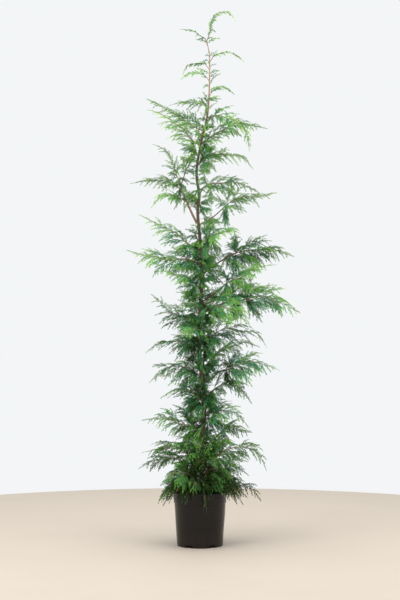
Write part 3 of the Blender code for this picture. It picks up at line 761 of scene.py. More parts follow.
class Limb:
    """A tapering limb: the points of its centre line and its radii there."""

    def __init__(self, points, radii):
        self.points = points
        self.radii = radii

    def direction(self, index):
        """The way that the limb runs at one of its points."""
        last = len(self.points) - 1
        return (self.points[min(index + 1, last)] - self.points[max(index - 1, 0)]).normalized()

    def at_share(self, share):
        """The point, direction and radius at a share of the points, from root to tip."""
        place = share * (len(self.points) - 1)
        index = min(int(place), len(self.points) - 2)
        rest = place - index
        point = self.points[index].lerp(self.points[index + 1], rest)
        radius = self.radii[index] * (1.0 - rest) + self.radii[index + 1] * rest
        direction = self.direction(index).lerp(self.direction(index + 1), rest).normalized()
        return point, direction, radius

    def share_at_height(self, height):
        """The share of the points at which a limb that climbs all the way is at a height."""
        for index, (low, high) in enumerate(zip(self.points, self.points[1:])):
            if low.z <= height <= high.z:
                return (index + (height - low.z) / (high.z - low.z)) / (len(self.points) - 1)
        raise ValueError(f"no part of the limb is at {height} m")

    def seat(self, height, azimuth):
        """Where a side limb starts on this one. With no height, it carries on from the tip."""
        if height is None:
            return self.points[-1] + self.direction(len(self.points) - 1) * GAP
        centre, direction, radius = self.at_share(self.share_at_height(height))
        return centre + across(direction, heading(azimuth)) * (radius + GAP)

    def part(self, start, end, count):
        """A stretch of the limb between two shares, with a number of evenly spaced points."""
        points = []
        radii = []
        for index in range(count):
            point, direction, radius = self.at_share(start + (end - start) * index / (count - 1))
            points.append(point)
            radii.append(radius)
        return Limb(points, radii)


def trunk_radius(height):
    """The trunk's radius at a height, with the flare at its root."""
    first = SOIL_TOP + GAP
    top = TRUNK_BENDS[-1][0]
    left = max((top - height) / (top - first), 0.0)
    taper = (TRUNK_BASE_RADIUS - TRUNK_TIP_RADIUS) * left**TRUNK_TAPER
    return TRUNK_TIP_RADIUS + taper + FLARE_RADIUS * math.exp(-(height - first) / FLARE_FADE)


def trunk_limb(steps):
    """The trunk, with a number of steps between its bends."""
    corners = []
    for height, sideways in TRUNK_BENDS:
        sway = TRUNK_SWAY * math.sin(math.tau * (height - SOIL_TOP) / TRUNK_SWAY_LENGTH)
        corners.append(Vector((sideways, sway, max(height, SOIL_TOP + GAP))))
    points = smooth_line(corners, steps)
    return Limb(points, [trunk_radius(point.z) for point in points])


def second_stem_limb(trunk):
    """The second stem, from its seat on the trunk."""
    height, azimuth, length, rise, finish = SECOND_STEM
    line = arching_line(trunk.seat(height, azimuth), azimuth, length, rise, finish, BOUGH_STEPS)
    radii = []
    for index in range(BOUGH_STEPS + 1):
        thinned = (SECOND_STEM_RADIUS - SECOND_STEM_TIP_RADIUS) * index / BOUGH_STEPS
        radii.append(SECOND_STEM_RADIUS - thinned)
    return Limb(line, radii)


class Plume:
    """One mass of foliage: the line of its stem, and how much of that is a bare bough."""

    def __init__(self, name, root, azimuth, length, rise, finish, shoot, bare, nod=1.0):
        self.name = name
        self.node = f"foliage_{name}"
        self.shoot = shoot
        self.bare = bare
        self.length = length
        self.dice = random.Random(f"{SEED} {self.node}")
        self.roll = self.dice.uniform(*PLUME_ROLL) * self.dice.choice((-1.0, 1.0))
        corners = arching_line(root, azimuth, length, rise, finish, BOUGH_STEPS, nod)
        bends = random.Random(f"{SEED} bends {self.node}")
        for corner in corners[1:-1]:
            for axis in range(3):
                corner[axis] += bends.uniform(-STEM_BEND, STEM_BEND) * length
        points = smooth_line(corners, SMOOTHER_STEPS)
        thick = RADIUS_PER_LENGTH * length
        radii = []
        for index in range(len(points)):
            left = 1.0 - index / (len(points) - 1)
            radii.append(STEM_TIP_RADIUS + (thick - STEM_TIP_RADIUS) * left**STEM_TAPER)
        self.whole = Limb(points, radii)
        self.stem = self.whole
        self.bough = None
        self.carrier = None
        self.azimuth = azimuth

    def split_bough(self):
        """Makes the bare part of the line a bough, and the rest the stem."""
        self.bough = self.whole.part(0.0, self.bare, 2 * BOUGH_STEPS)
        self.stem = self.whole.part(self.bare, 1.0, len(self.whole.points))

    def stem_length(self):
        """The length of the leafy part."""
        return self.length * (1.0 - self.bare if self.bough else 1.0)

    def zone(self):
        """The zone of the crown that the plume grows in."""
        root = self.whole.points[0]
        return next(name for name, lowest in ZONES if root.z >= lowest)


def all_plumes(trunk, second_stem):
    """Every plume of the crown, in its place on the limb that carries it."""
    plumes = []
    for carrier, rows in (
        (trunk, TRUNK_PLUMES),
        (second_stem, SECOND_STEM_PLUMES),
        (trunk, BOUGH_PLUMES),
    ):
        for name, height, azimuth, length, rise, finish, shoot, bare in rows:
            root = carrier.seat(height, azimuth)
            plume = Plume(name, root, azimuth, length, rise, finish, shoot, bare)
            if carrier is trunk:
                plume.carrier = trunk
            if rows is BOUGH_PLUMES:
                plume.split_bough()
            plumes.append(plume)
    length, rise, finish, shoot = LEADER_PLUME
    leader = Plume("top", trunk.seat(None, 0.0), 0.0, length, rise, finish, shoot, 0.0, LEADER_NOD)
    leader.roll = LEADER_ROLL
    plumes.append(leader)
    return plumes


def in_box(points):
    """Which points lie in the CAD model's box, or hardly outside it."""
    low, high = np.array(cad_box)
    return (points > low - BOX_SLACK).all(1) & (points < high + BOX_SLACK).all(1)


class Crown:
    """The space of each plume: what lies nearer to its stem than to any other, clear of limbs."""

    def __init__(self, plumes, limbs):
        stems = []
        owners = []
        for index, plume in enumerate(plumes):
            points = plume.stem.part(0.0, 1.0, BOUGH_STEPS + 1).points
            stems += list(zip(points, points[1:]))
            owners += [index] * BOUGH_STEPS
        self.stems = np.array(stems)
        self.owners = np.array(owners)
        segments = []
        radii = []
        for limb in limbs:
            for index, ends in enumerate(zip(limb.points, limb.points[1:])):
                segments.append(ends)
                radii.append(max(limb.radii[index : index + 2]))
        self.limbs = np.array(segments)
        self.limb_radii = np.array(radii)

    @staticmethod
    def distances(points, segments):
        """The distance from each point to each segment."""
        starts = segments[:, 0]
        runs = segments[:, 1] - starts
        offsets = points[:, None, :] - starts
        share = np.clip((offsets * runs).sum(2) / (runs**2).sum(1), 0.0, 1.0)
        return np.linalg.norm(offsets - share[:, :, None] * runs, axis=2)

    def free(self, points, owners):
        """Which points lie in the space of their own plume, clear of the limbs and the pot."""
        points = np.array(points)
        owners = np.broadcast_to(owners, len(points))
        free = np.empty(len(points), bool)
        for start in range(0, len(points), POINTS_AT_ONCE):
            block = slice(start, start + POINTS_AT_ONCE)
            near = self.distances(points[block], self.stems)
            own = self.owners == owners[block][:, None]
            to_own = np.where(own, near, FAR_AWAY).min(1)
            to_other = np.where(own, FAR_AWAY, near).min(1)
            to_limb = (self.distances(points[block], self.limbs) - self.limb_radii).min(1)
            free[block] = (to_own < to_other + SPACE_SLACK) & (to_limb > LIMB_CLEARANCE)
        spread = np.hypot(points[:, 0], points[:, 1])
        low_down = points[:, 2] < POT_HEIGHT + POT_CLEARANCE
        in_pot = low_down & (spread < POT_RIM_RADIUS + POT_CLEARANCE)
        return free & in_box(points) & ~in_pot


class Heap:
    """Vertices and triangles that are gathered and then made one mesh."""

    def __init__(self):
        self.vertices = []
        self.faces = []
        self.count = 0

    def add(self, vertices, faces):
        """Adds the arrays of one shape, or of many copies."""
        self.vertices.append(np.asarray(vertices).reshape(-1, 3))
        self.faces.append(np.asarray(faces).reshape(-1, 3) + self.count)
        self.count += len(self.vertices[-1])

    def add_tube(self, limb, sides):
        """Adds a tapering tube along a limb, pointed at its tip."""
        vertices = []
        side = across(limb.direction(0), Vector((0.3, 0.2, 1.0)))
        for index, (point, radius) in enumerate(zip(limb.points, limb.radii)):
            direction = limb.direction(index)
            side = across(direction, side)
            up = direction.cross(side)
            for corner in range(sides):
                turn = math.tau * corner / sides
                vertices.append(point + (side * math.cos(turn) + up * math.sin(turn)) * radius)
        vertices.append(limb.points[-1] + limb.direction(len(limb.points) - 1) * limb.radii[-1])
        faces = []
        for ring in range(len(limb.points) - 1):
            for corner in range(sides):
                a = ring * sides + corner
                b = ring * sides + (corner + 1) % sides
                faces.append((a, b, b + sides))
                faces.append((a, b + sides, a + sides))
        last = (len(limb.points) - 1) * sides
        for corner in range(sides):
            faces.append((last + corner, last + (corner + 1) % sides, last + sides))
        self.add(np.array(vertices), np.array(faces))

    def make(self, name, finish, smooth):
        """Makes the mesh object."""
        data = bpy.data.meshes.new(name)
        data.from_pydata(np.concatenate(self.vertices), [], np.concatenate(self.faces))
        data.materials.append(finish)
        data.polygons.foreach_set("use_smooth", [smooth] * len(data.polygons))
        made = bpy.data.objects.new(name, data)
        bpy.context.scene.collection.objects.link(made)
        return made


def shoot_line(root, way, direction, length, droop, steps):
    """The line of a side shoot, which turns towards the plume's tip and droops at its own."""
    points = [root]
    for step in range(steps):
        share = (step + 0.5) / steps
        drop = Vector((0.0, 0.0, -droop * share**SHOOT_DROOP_LATE))
        way_here = (way + direction * SHOOT_FORWARD * share + drop).normalized()
        points.append(points[-1] + way_here * length / steps)
    return points


class Shoot:
    """A side shoot or feather: its line, the side that it spreads to, and what colours its leaves.

    Along is how far out on its plume it grows, from 0 at the root to 1 at the tip.
    """

    def __init__(self, limb, side, length, along, luck, zone):
        self.zone = zone
        self.limb = limb
        self.side = side
        self.length = length
        self.along = along
        self.luck = luck


class Grower:
    """Grows the shoots of one plume that stay in its space."""

    def __init__(self, plume, owner, crown):
        self.plume = plume
        self.owner = owner
        self.crown = crown
        self.shoots = []

    def offer(self, root, way, direction, length, steps, along, luck, droop):
        """Adds a shoot if it stays in the plume's space, trying it shorter and shorter.

        Its first quarter may lie close to the limb that it grows from.
        """
        for attempt in range(SHORTER_TRIES):
            line = shoot_line(root, way, direction, length, droop, steps)
            if self.crown.free(line[1 + steps // 4 :], self.owner).all():
                radii = np.linspace(SHOOT_RADIUS, SHOOT_TIP_RADIUS, len(line)).tolist()
                side = across(way, direction)
                zone = self.plume.zone()
                self.shoots.append(Shoot(Limb(line, radii), side, length, along, luck, zone))
                return
            length *= SHORTER_BY

    def side_shoots(self):
        """The side shoots of the plume, by the seeded rule of the solids."""
        plume = self.plume
        first = plume.bare if plume.bough is None else FIRST_SHOOT
        count = round(plume.length * (1.0 - plume.bare) / SHOOT_PITCH)
        dice = plume.dice
        for index in range(count):
            along = first + (LAST_SHOOT - first) * (index + dice.uniform(*SHOOT_PLACE)) / count
            root, direction, radius = plume.stem.at_share(along)
            level = across(direction, direction.cross(Vector((0.0, 0.0, 1.0))))
            lift = level.cross(direction)
            hand = 1.0 if index % 2 else -1.0
            roll = math.radians(plume.roll + dice.uniform(-ROLL_CHANGE, ROLL_CHANGE))
            raise_by = math.radians(SHOOT_RAISE)
            out = level * hand * math.cos(roll) + lift * hand * math.sin(roll)
            out = out * math.cos(raise_by) + lift * math.sin(raise_by)
            spread = math.radians(SPREAD[plume.zone()] + dice.uniform(-1.0, 1.0) * SHOOT_ANGLE_CHANGE)
            way = (direction * math.cos(spread) + out * math.sin(spread)).normalized()
            change = 1.0 + dice.uniform(-1.0, 1.0) * SHOOT_LENGTH_CHANGE
            rule = min(1.0, INNER_SHOOT + along) * (1.0 - along) ** SHOOT_TAPER
            to_tip = (1.0 - along) ** TIP_TAPER * plume.stem_length() / math.cos(spread)
            length = plume.shoot * SLENDER[plume.zone()] * rule * change
            length = min(length, to_tip + TIP_ROOM)
            luck = dice.uniform(-SHOOT_LUCK, SHOOT_LUCK)
            droop = dice.uniform(*SHOOT_DROOP) * DROOP[plume.zone()]
            self.offer(root, way, direction, length, SHOOT_STEPS, along, luck, droop)

    def inner_shoots(self):
        """Shoots on all sides of the plume's root, which fill the crown round the trunk."""
        plume = self.plume
        dice = plume.dice
        for index in range(INNER_SHOOTS[plume.zone()]):
            along = dice.uniform(*INNER_PLACE)
            root, direction, radius = plume.stem.at_share(along)
            change = dice.uniform(-INNER_TURN_CHANGE, INNER_TURN_CHANGE)
            turn = math.radians(INNER_TURN * index + change)
            level = across(direction, direction.cross(Vector((0.0, 0.0, 1.0))))
            out = level * math.cos(turn) + level.cross(direction) * math.sin(turn)
            spread = math.radians(dice.uniform(*INNER_ANGLE))
            way = (direction * math.cos(spread) + out * math.sin(spread)).normalized()
            length = plume.shoot * dice.uniform(*INNER_LENGTH)
            luck = dice.uniform(-SHOOT_LUCK, SHOOT_LUCK)
            droop = dice.uniform(*SHOOT_DROOP) * DROOP[plume.zone()]
            self.offer(root, way, direction, length, SHOOT_STEPS, along, luck, droop)

    def trunk_shoots(self):
        """Short shoots on all sides of the trunk that hide it between the plumes."""
        plume = self.plume
        if plume.carrier is None:
            return
        dice = plume.dice
        zone = plume.zone()
        for index in range(TRUNK_SHOOTS[zone]):
            height = plume.whole.points[0].z + dice.uniform(-1.0, 1.0) * TRUNK_SHOOT_RISE[zone]
            height = min(max(height, TRUNK_SHOOT_LOWEST), TRUNK_SHOOT_HIGHEST)
            azimuth = INNER_TURN * index + dice.uniform(-INNER_TURN_CHANGE, INNER_TURN_CHANGE)
            root = plume.carrier.seat(height, azimuth)
            swing = dice.uniform(-TRUNK_SHOOT_SWING, TRUNK_SHOOT_SWING)
            way = heading(azimuth + swing, dice.uniform(*TRUNK_SHOOT_SLOPE))
            length = dice.uniform(*TRUNK_SHOOT_LENGTH)
            if height > TOP_TRUNK_SHOOTS_ABOVE:
                length *= TOP_TRUNK_SHOOT_SHARE
            luck = dice.uniform(-SHOOT_LUCK, SHOOT_LUCK)
            droop = dice.uniform(*SHOOT_DROOP)
            ahead = heading(azimuth, TRUNK_SHOOT_TURN_UP)
            self.offer(root, way, ahead, length, SHOOT_STEPS, TRUNK_SHOOT_ALONG, luck, droop)

    def hanging_shoots(self):
        """Shoots from the foot of the trunk that hang over the pot's rim."""
        plume = self.plume
        if plume.whole.points[0].z > HANGING_BELOW:
            return
        dice = plume.dice
        for index in range(HANGING_SHOOTS):
            azimuth = plume.azimuth + dice.uniform(-HANGING_TURN, HANGING_TURN)
            root = plume.carrier.seat(dice.uniform(*HANGING_ROOT), azimuth)
            way = heading(azimuth, dice.uniform(*HANGING_SLOPE))
            length = dice.uniform(*HANGING_LENGTH)
            luck = dice.uniform(-SHOOT_LUCK, SHOOT_LUCK)
            droop = dice.uniform(*HANGING_DROOP)
            ahead = heading(azimuth)
            self.offer(root, way, ahead, length, SHOOT_STEPS, HANGING_ALONG, luck, droop)

    def feathers(self, shoot, dice):
        """The feathers that a long shoot forks into."""
        if shoot.length < FORKING_LENGTH:
            return
        count = round(shoot.length * (FEATHER_END - FEATHER_START) / FEATHER_PITCH)
        for index in range(count):
            share = FEATHER_START + (FEATHER_END - FEATHER_START) * (index + dice.random()) / count
            root, direction, radius = shoot.limb.at_share(share)
            hand = 1.0 if index % 2 else -1.0
            roll = math.radians(dice.uniform(-FEATHER_ROLL, FEATHER_ROLL))
            flat = across(direction, shoot.side)
            out = (flat * math.cos(roll) + direction.cross(flat) * math.sin(roll)) * hand
            change = dice.uniform(-FEATHER_ANGLE_CHANGE, FEATHER_ANGLE_CHANGE)
            turn = math.radians(FEATHER_ANGLE + change)
            way = direction * math.cos(turn) + out * math.sin(turn)
            rule = FEATHER_SHARE * (1.0 - share) ** FEATHER_TAPER
            length = max(shoot.length * (rule * dice.uniform(*FEATHER_LENGTH_CHANGE)), FEATHER_SHORTEST)
            along = shoot.along + (1.0 - shoot.along) * FEATHER_OUTWARD * share
            luck = shoot.luck + dice.uniform(-FEATHER_LUCK, FEATHER_LUCK)
            droop = dice.uniform(*SHOOT_DROOP)
            self.offer(root, way, direction, length, FEATHER_STEPS, along, luck, droop)

    def grow(self):
        """Every shoot and feather of the plume, and its stem beyond the bare foot as one more."""
        self.side_shoots()
        self.inner_shoots()
        self.trunk_shoots()
        self.hanging_shoots()
        # A copy of the list, because the feathers are added to it.
        for index, shoot in enumerate(list(self.shoots)):
            self.feathers(shoot, random.Random(f"{self.plume.name} fork {index}"))
        side = self.shoots[0].side if self.shoots else heading(90.0)
        clothed = self.plume.stem.part(CLOTHED_FROM, 1.0, 4 * SHOOT_STEPS)
        length = self.plume.stem_length() * (1.0 - CLOTHED_FROM)
        return self.shoots, Shoot(clothed, side, length, STEM_ALONG, 0.0, self.plume.zone())


def outline_of(share, foot, swell, taper):
    """How long what grows at a share of a stalk is, against the longest there."""
    return min(1.0, foot + swell * share) * (1.0 - share) ** taper


def sprays_along(shoot, dice):
    """The sprays that alternate along a shoot, and the one that ends it."""
    leafy = 1.0 - SPRAY_FIRST
    count = max(SPRAY_FEWEST, round(shoot.length * leafy / SPRAY_PITCH))
    longest = min(SPRAY_SHARE * shoot.length + SPRAY_LEAST, SPRAY_LONGEST)
    for index in range(count):
        share = SPRAY_FIRST + leafy * (index + dice.uniform(*SPRAY_PLACE)) / count
        root, direction, radius = shoot.limb.at_share(share)
        hand = 1.0 if index % 2 else -1.0
        roll = math.radians(dice.uniform(-SPRAY_ROLL, SPRAY_ROLL))
        flat = across(direction, shoot.side)
        out = (flat * math.cos(roll) + direction.cross(flat) * math.sin(roll)) * hand
        turn = math.radians(SPRAY_ANGLE + dice.uniform(-1.0, 1.0) * SPRAY_ANGLE_CHANGE)
        way = direction * math.cos(turn) + out * math.sin(turn)
        outline = outline_of(share, *SPRAY_OUTLINE)
        reach = max(longest * outline * dice.uniform(*SPRAY_LENGTH_CHANGE), SPRAY_SHORTEST)
        yield root, way, across(way, direction), reach, share
    root, direction, radius = shoot.limb.at_share(1.0)
    reach = END_SPRAY_SHARE * longest + END_SPRAY_LEAST
    yield root, direction, across(direction, shoot.side), reach, 1.0


def spray_shape(length, dice):
    """One spray along +X: a thin stalk with pointed, scale-clad branchlets on both sides."""
    vertices = []
    faces = []

    def spike(root, way, half_width, half_thickness, tip):
        """A three-sided spike, flattened into the plane of the spray."""
        start = len(vertices)
        side = across(way, Vector((-way.y, way.x, 0.0)))
        up = way.cross(side)
        vertices.append(root + side * half_width - up * 0.5 * half_thickness)
        vertices.append(root - side * half_width - up * 0.5 * half_thickness)
        vertices.append(root + up * half_thickness)
        vertices.append(tip)
        faces.extend([(start + 1, start, start + 3), (start + 2, start + 1, start + 3)])
        faces.append((start, start + 2, start + 3))

    ahead = Vector((1.0, 0.0, 0.0))
    foot = Vector((0.0, 0.0, 0.0))
    spike(foot, ahead, STALK_HALF_WIDTH, STALK_HALF_THICKNESS, ahead * length)
    count = max(BRANCHLET_FEWEST, round(length / BRANCHLET_PITCH))
    for index in range(count):
        share = BRANCHLET_FIRST + BRANCHLET_SPAN * (index + dice.uniform(*SPRAY_PLACE)) / count
        hand = 1.0 if index % 2 else -1.0
        longest = min(BRANCHLET_REACH, BRANCHLET_SHARE * length)
        reach = longest * outline_of(share, *BRANCHLET_OUTLINE) + BRANCHLET_LEAST
        reach *= dice.uniform(*BRANCHLET_LENGTH_CHANGE)
        turn = math.radians(BRANCHLET_ANGLE + dice.uniform(-1.0, 1.0) * BRANCHLET_ANGLE_CHANGE)
        lift = dice.uniform(-BRANCHLET_LIFT, BRANCHLET_LIFT)
        way = Vector((math.cos(turn), hand * math.sin(turn), lift)).normalized()
        root = ahead * share * length
        tip = root + way * reach
        spike(root, way, BRANCHLET_HALF_WIDTH, BRANCHLET_HALF_THICKNESS, tip)
    return np.array(vertices), np.array(faces)


def leaf_colour(shoot, share, place, dice):
    """The colour of a spray: dark and blue-green inside, as painted shade, fresh yellow-green at the
    tips, and painted lighter on the top and front of the crown.

    The lowest zone is painted in shade too, but most of its leaves there are a plain deep or mid green.
    """
    chance = WITHERED_CHANCE_LOW if place.z < WITHERED_BELOW else WITHERED_CHANCE
    if shoot.along < WITHERED_WITHIN and dice.random() < chance:
        return "withered"
    lowest, highest = HEIGHT_LIFT_RANGE
    height = min(max(place.z - HEIGHT_LIFT_FROM, lowest), highest)
    freshness_and_light = PLUME_FRESHNESS * shoot.along + SHOOT_FRESHNESS * share + shoot.luck
    # Painted light: lighter with height and towards the lit front.
    freshness_and_light += HEIGHT_LIFT * height - FRONT_LIFT * place.y
    freshness_and_light += dice.uniform(-SPRAY_LUCK, SPRAY_LUCK)
    # Painted shade: darker low down, over the pot's rim.
    if place.z < LOW_SHADE_BELOW:
        freshness_and_light -= LOW_SHADE
    for name, limit in LEAF_LIMITS:
        if freshness_and_light < limit:
            if name == "mid" and dice.random() < SHADED_SHARE[shoot.zone]:
                return "blue"
            if name == "blue" and shoot.zone == "low":
                return "deep" if place.z < LOW_SHADE_BELOW else "mid"
            return name
    return "bright"


def grow_crown(plumes, crown):
    """Grows every plume: its twigs as tubes, and its sprays as rows of where and how they lie."""
    stems = {}
    twigs = {}
    sprays = {}
    for owner, plume in enumerate(plumes):
        zone = plume.zone()
        stems.setdefault(zone, Heap()).add_tube(plume.stem, STEM_SIDES)
        shoots, stem = Grower(plume, owner, crown).grow()
        for shoot in shoots:
            drawn = shoot.limb.part(0.0, 1.0, 1 + len(shoot.limb.points) // 2)
            twigs.setdefault(zone, Heap()).add_tube(drawn, TWIG_SIDES)
        for index, shoot in enumerate([*shoots, stem]):
            dice = random.Random(f"{plume.name} {index}")
            for root, way, flat, reach, share in sprays_along(shoot, dice):
                colour = leaf_colour(shoot, share, root, dice)
                size = min(range(len(SPRAY_SIZES)), key=lambda s: abs(SPRAY_SIZES[s] - reach))
                kind = dice.randrange(SPRAY_KINDS)
                row = (*root, *way, *flat, reach / SPRAY_SIZES[size], owner)
                sprays.setdefault((zone, colour), {}).setdefault((size, kind), []).append(row)
    return stems, twigs, sprays


def lay_sprays(groups, shapes, crown):
    """One heap with every spray of a zone and colour, without those that leave their space."""
    heap = Heap()
    for (size, kind), rows in groups.items():
        rows = np.array(rows)
        roots = rows[:, 0:3]
        ways = rows[:, 3:6]
        sides = rows[:, 6:9]
        scales = rows[:, 9]
        length = SPRAY_SIZES[size]
        middles = roots + ways * (SPRAY_MIDDLE * length * scales)[:, None]
        tips = roots + ways * (length * scales)[:, None]
        kept = crown.free(middles, rows[:, 10].astype(int))
        kept &= in_box(tips)
        roots, ways, sides, scales = roots[kept], ways[kept], sides[kept], scales[kept]
        if not len(roots):
            continue
        normals = np.cross(ways, sides)
        vertices, faces = shapes[size, kind]
        drop = SPRAY_NOD * (vertices[:, 0] / length) ** 2 * length
        placed = (
            vertices[None, :, 0, None] * ways[:, None, :]
            + vertices[None, :, 1, None] * sides[:, None, :]
            + vertices[None, :, 2, None] * normals[:, None, :]
        )
        placed[:, :, 2] -= drop
        placed = roots[:, None, :] + placed * scales[:, None, None]
        steps = np.arange(len(roots))[:, None, None] * len(vertices)
        heap.add(placed, faces[None] + steps)
    return heap


def deselect_all():
    """Leaves nothing selected, so that an operator acts only on what is added next."""
    for other in bpy.context.selected_objects:
        other.select_set(False)


def bark_relief(place):
    """How far the bark stands out at a place, against its relief: long fissures and lumps."""
    across_limb = Vector((place.x, place.y, 0.0)) * FISSURES_ACROSS
    fissures = noise.noise(across_limb + Vector((0.0, 0.0, place.z * FISSURES_ALONG)))
    return FISSURE_SHARE * fissures + LUMP_SHARE * noise.noise(place * LUMPS_PER_METRE)


def bark_tube(name, limb, mesh, finish):
    """A limb as a mesh with the bark's relief, from a bevelled curve along its line."""
    steps, sides, relief = mesh
    deselect_all()
    curve = bpy.data.curves.new(name, "CURVE")
    curve.dimensions = "3D"
    curve.bevel_depth = 1.0
    curve.bevel_resolution = sides // 2 - 2
    curve.use_fill_caps = True
    line = curve.splines.new("POLY")
    line.points.add(steps)
    for index in range(steps + 1):
        point, direction, radius = limb.at_share(index / steps)
        line.points[index].co = (*point, 1.0)
        line.points[index].radius = radius
    made = bpy.data.objects.new(name, curve)
    bpy.context.scene.collection.objects.link(made)
    bpy.context.view_layer.objects.active = made
    made.select_set(True)
    bpy.ops.object.convert(target="MESH")
    made = bpy.context.view_layer.objects.active
    made.data.materials.clear()
    made.data.materials.append(finish)
    for vertex in made.data.vertices:
        fade = min(1.0, END_RELIEF + vertex.normal.xy.length)
        vertex.co += vertex.normal * relief * fade * bark_relief(vertex.co)
    bpy.ops.object.shade_smooth_by_angle(angle=math.radians(BARK_SHARP_ANGLE))
    return made


def cut_stub(trunk):
    """The stub where the first leader was cut, sunk into the trunk at its foot."""
    base, direction, radius = trunk.at_share(trunk.share_at_height(STUB_HEIGHT))
    tip = base + heading(STUB_AZIMUTH, STUB_SLOPE) * STUB_LENGTH
    radii = [STUB_RADIUS, STUB_MIDDLE_TAPER * STUB_RADIUS, STUB_TAPER * STUB_RADIUS]
    return Limb([base, base.lerp(tip, 0.5), tip], radii)


def extrude_profile(profile):
    """Draws the selected face of the mesh in hand along (radius, height) points."""
    radius, height = profile[0]
    for next_radius, next_height in profile[1:]:
        bpy.ops.mesh.extrude_region_move(
            TRANSFORM_OT_translate={"value": (0.0, 0.0, next_height - height)}
        )
        shrink = next_radius / radius
        bpy.ops.transform.resize(value=(shrink, shrink, 1.0), center_override=(0.0, 0.0, next_height))
        radius, height = next_radius, next_height


def wall_line(low, high, steps):
    """Evenly spaced (radius, height) points up a straight wall, without its first."""
    points = []
    for step in range(1, steps + 1):
        share = step / steps
        points.append(tuple(a + (b - a) * share for a, b in zip(low, high)))
    return points


def nursery_pot(finish):
    """The pot: a disc drawn up the outside, over the lip and down the inside to its floor.

    Its wall is warped a little out of round, more so above its stiff foot.
    """
    deselect_all()
    neck = POT_HEIGHT - POT_RIM_DEPTH
    foot = POT_FOOT_RADIUS - POT_ROUNDING
    bpy.ops.mesh.primitive_circle_add(vertices=POT_SIDES, radius=foot, fill_type="NGON")
    pot = bpy.context.view_layer.objects.active
    pot.name = "nursery_pot"
    collar = POT_RIM_RADIUS
    inside = POT_RIM_RADIUS - POT_WALL
    wall_foot = (POT_FOOT_RADIUS, POT_ROUNDING)
    wall_top = (POT_NECK_RADIUS, neck - POT_GROOVE_DROP)
    band_foot = (collar, neck + 1.6 * POT_ROUNDING)
    band_top = (collar, POT_HEIGHT - 2.0 * POT_LIP)
    profile = [
        (foot, 0.0),
        (POT_FOOT_RADIUS - 0.3 * POT_ROUNDING, 0.3 * POT_ROUNDING),
        wall_foot,
        *wall_line(wall_foot, wall_top, POT_WALL_STEPS),
        (POT_NECK_RADIUS - POT_GROOVE, neck + 0.1 * POT_ROUNDING - POT_GROOVE_DROP),
        (POT_NECK_RADIUS - POT_GROOVE, neck + 0.6 * POT_ROUNDING),
        (collar - 0.5 * POT_ROUNDING, neck + 0.6 * POT_ROUNDING),
        (collar - 0.1 * POT_ROUNDING, neck + 1.0 * POT_ROUNDING),
        band_foot,
        *wall_line(band_foot, band_top, POT_BAND_STEPS),
        (collar + 0.6 * POT_LIP_BULGE, POT_HEIGHT - 1.6 * POT_LIP),
        (collar + POT_LIP_BULGE, POT_HEIGHT - 0.9 * POT_LIP),
        (collar + 0.6 * POT_LIP_BULGE, POT_HEIGHT - 0.2 * POT_LIP),
        (collar - 0.3 * POT_WALL, POT_HEIGHT),
        (inside + 0.2 * POT_WALL, POT_HEIGHT - 0.1 * POT_LIP),
        (inside, POT_HEIGHT - 0.5 * POT_LIP),
        (inside, neck + 2.0 * POT_ROUNDING),
        (POT_NECK_RADIUS - POT_WALL - POT_GROOVE, neck),
        (POT_FOOT_RADIUS - POT_WALL, POT_FLOOR),
    ]
    bpy.ops.object.mode_set(mode="EDIT")
    extrude_profile(profile)
    bpy.ops.mesh.select_all(action="SELECT")
    bpy.ops.mesh.normals_make_consistent(inside=False)
    bpy.ops.object.mode_set(mode="OBJECT")
    for index in range(DRAIN_COUNT):
        cut_drain(pot, DRAIN_FIRST_AZIMUTH + 360.0 * index / DRAIN_COUNT)
    for vertex in pot.data.vertices:
        place = vertex.co
        loose = min(1.0, place.z / POT_STIFF_FOOT)
        out = Vector((place.x, place.y, 0.0)).normalized()
        vertex.co += out * noise.noise(place * POT_WARPS_PER_METRE) * POT_WARP * loose
    pot.data.materials.append(finish)
    bpy.ops.object.shade_smooth_by_angle(angle=math.radians(POT_SHARP_ANGLE))
    return pot


def cut_drain(pot, azimuth):
    """Cuts one drain slot where the pot's wall meets its floor."""
    deselect_all()
    bpy.ops.mesh.primitive_cube_add(
        size=1.0,
        location=heading(azimuth) * POT_FOOT_RADIUS,
        rotation=(0.0, 0.0, math.radians(azimuth)),
        scale=(2.0 * DRAIN_DEPTH, DRAIN_WIDTH, 2.0 * DRAIN_HEIGHT),
    )
    cutter = bpy.context.view_layer.objects.active
    deselect_all()
    bpy.context.view_layer.objects.active = pot
    pot.select_set(True)
    cut = pot.modifiers.new("drain", "BOOLEAN")
    cut.operation = "DIFFERENCE"
    cut.object = cutter
    bpy.ops.object.modifier_apply(modifier=cut.name)
    bpy.data.objects.remove(cutter)


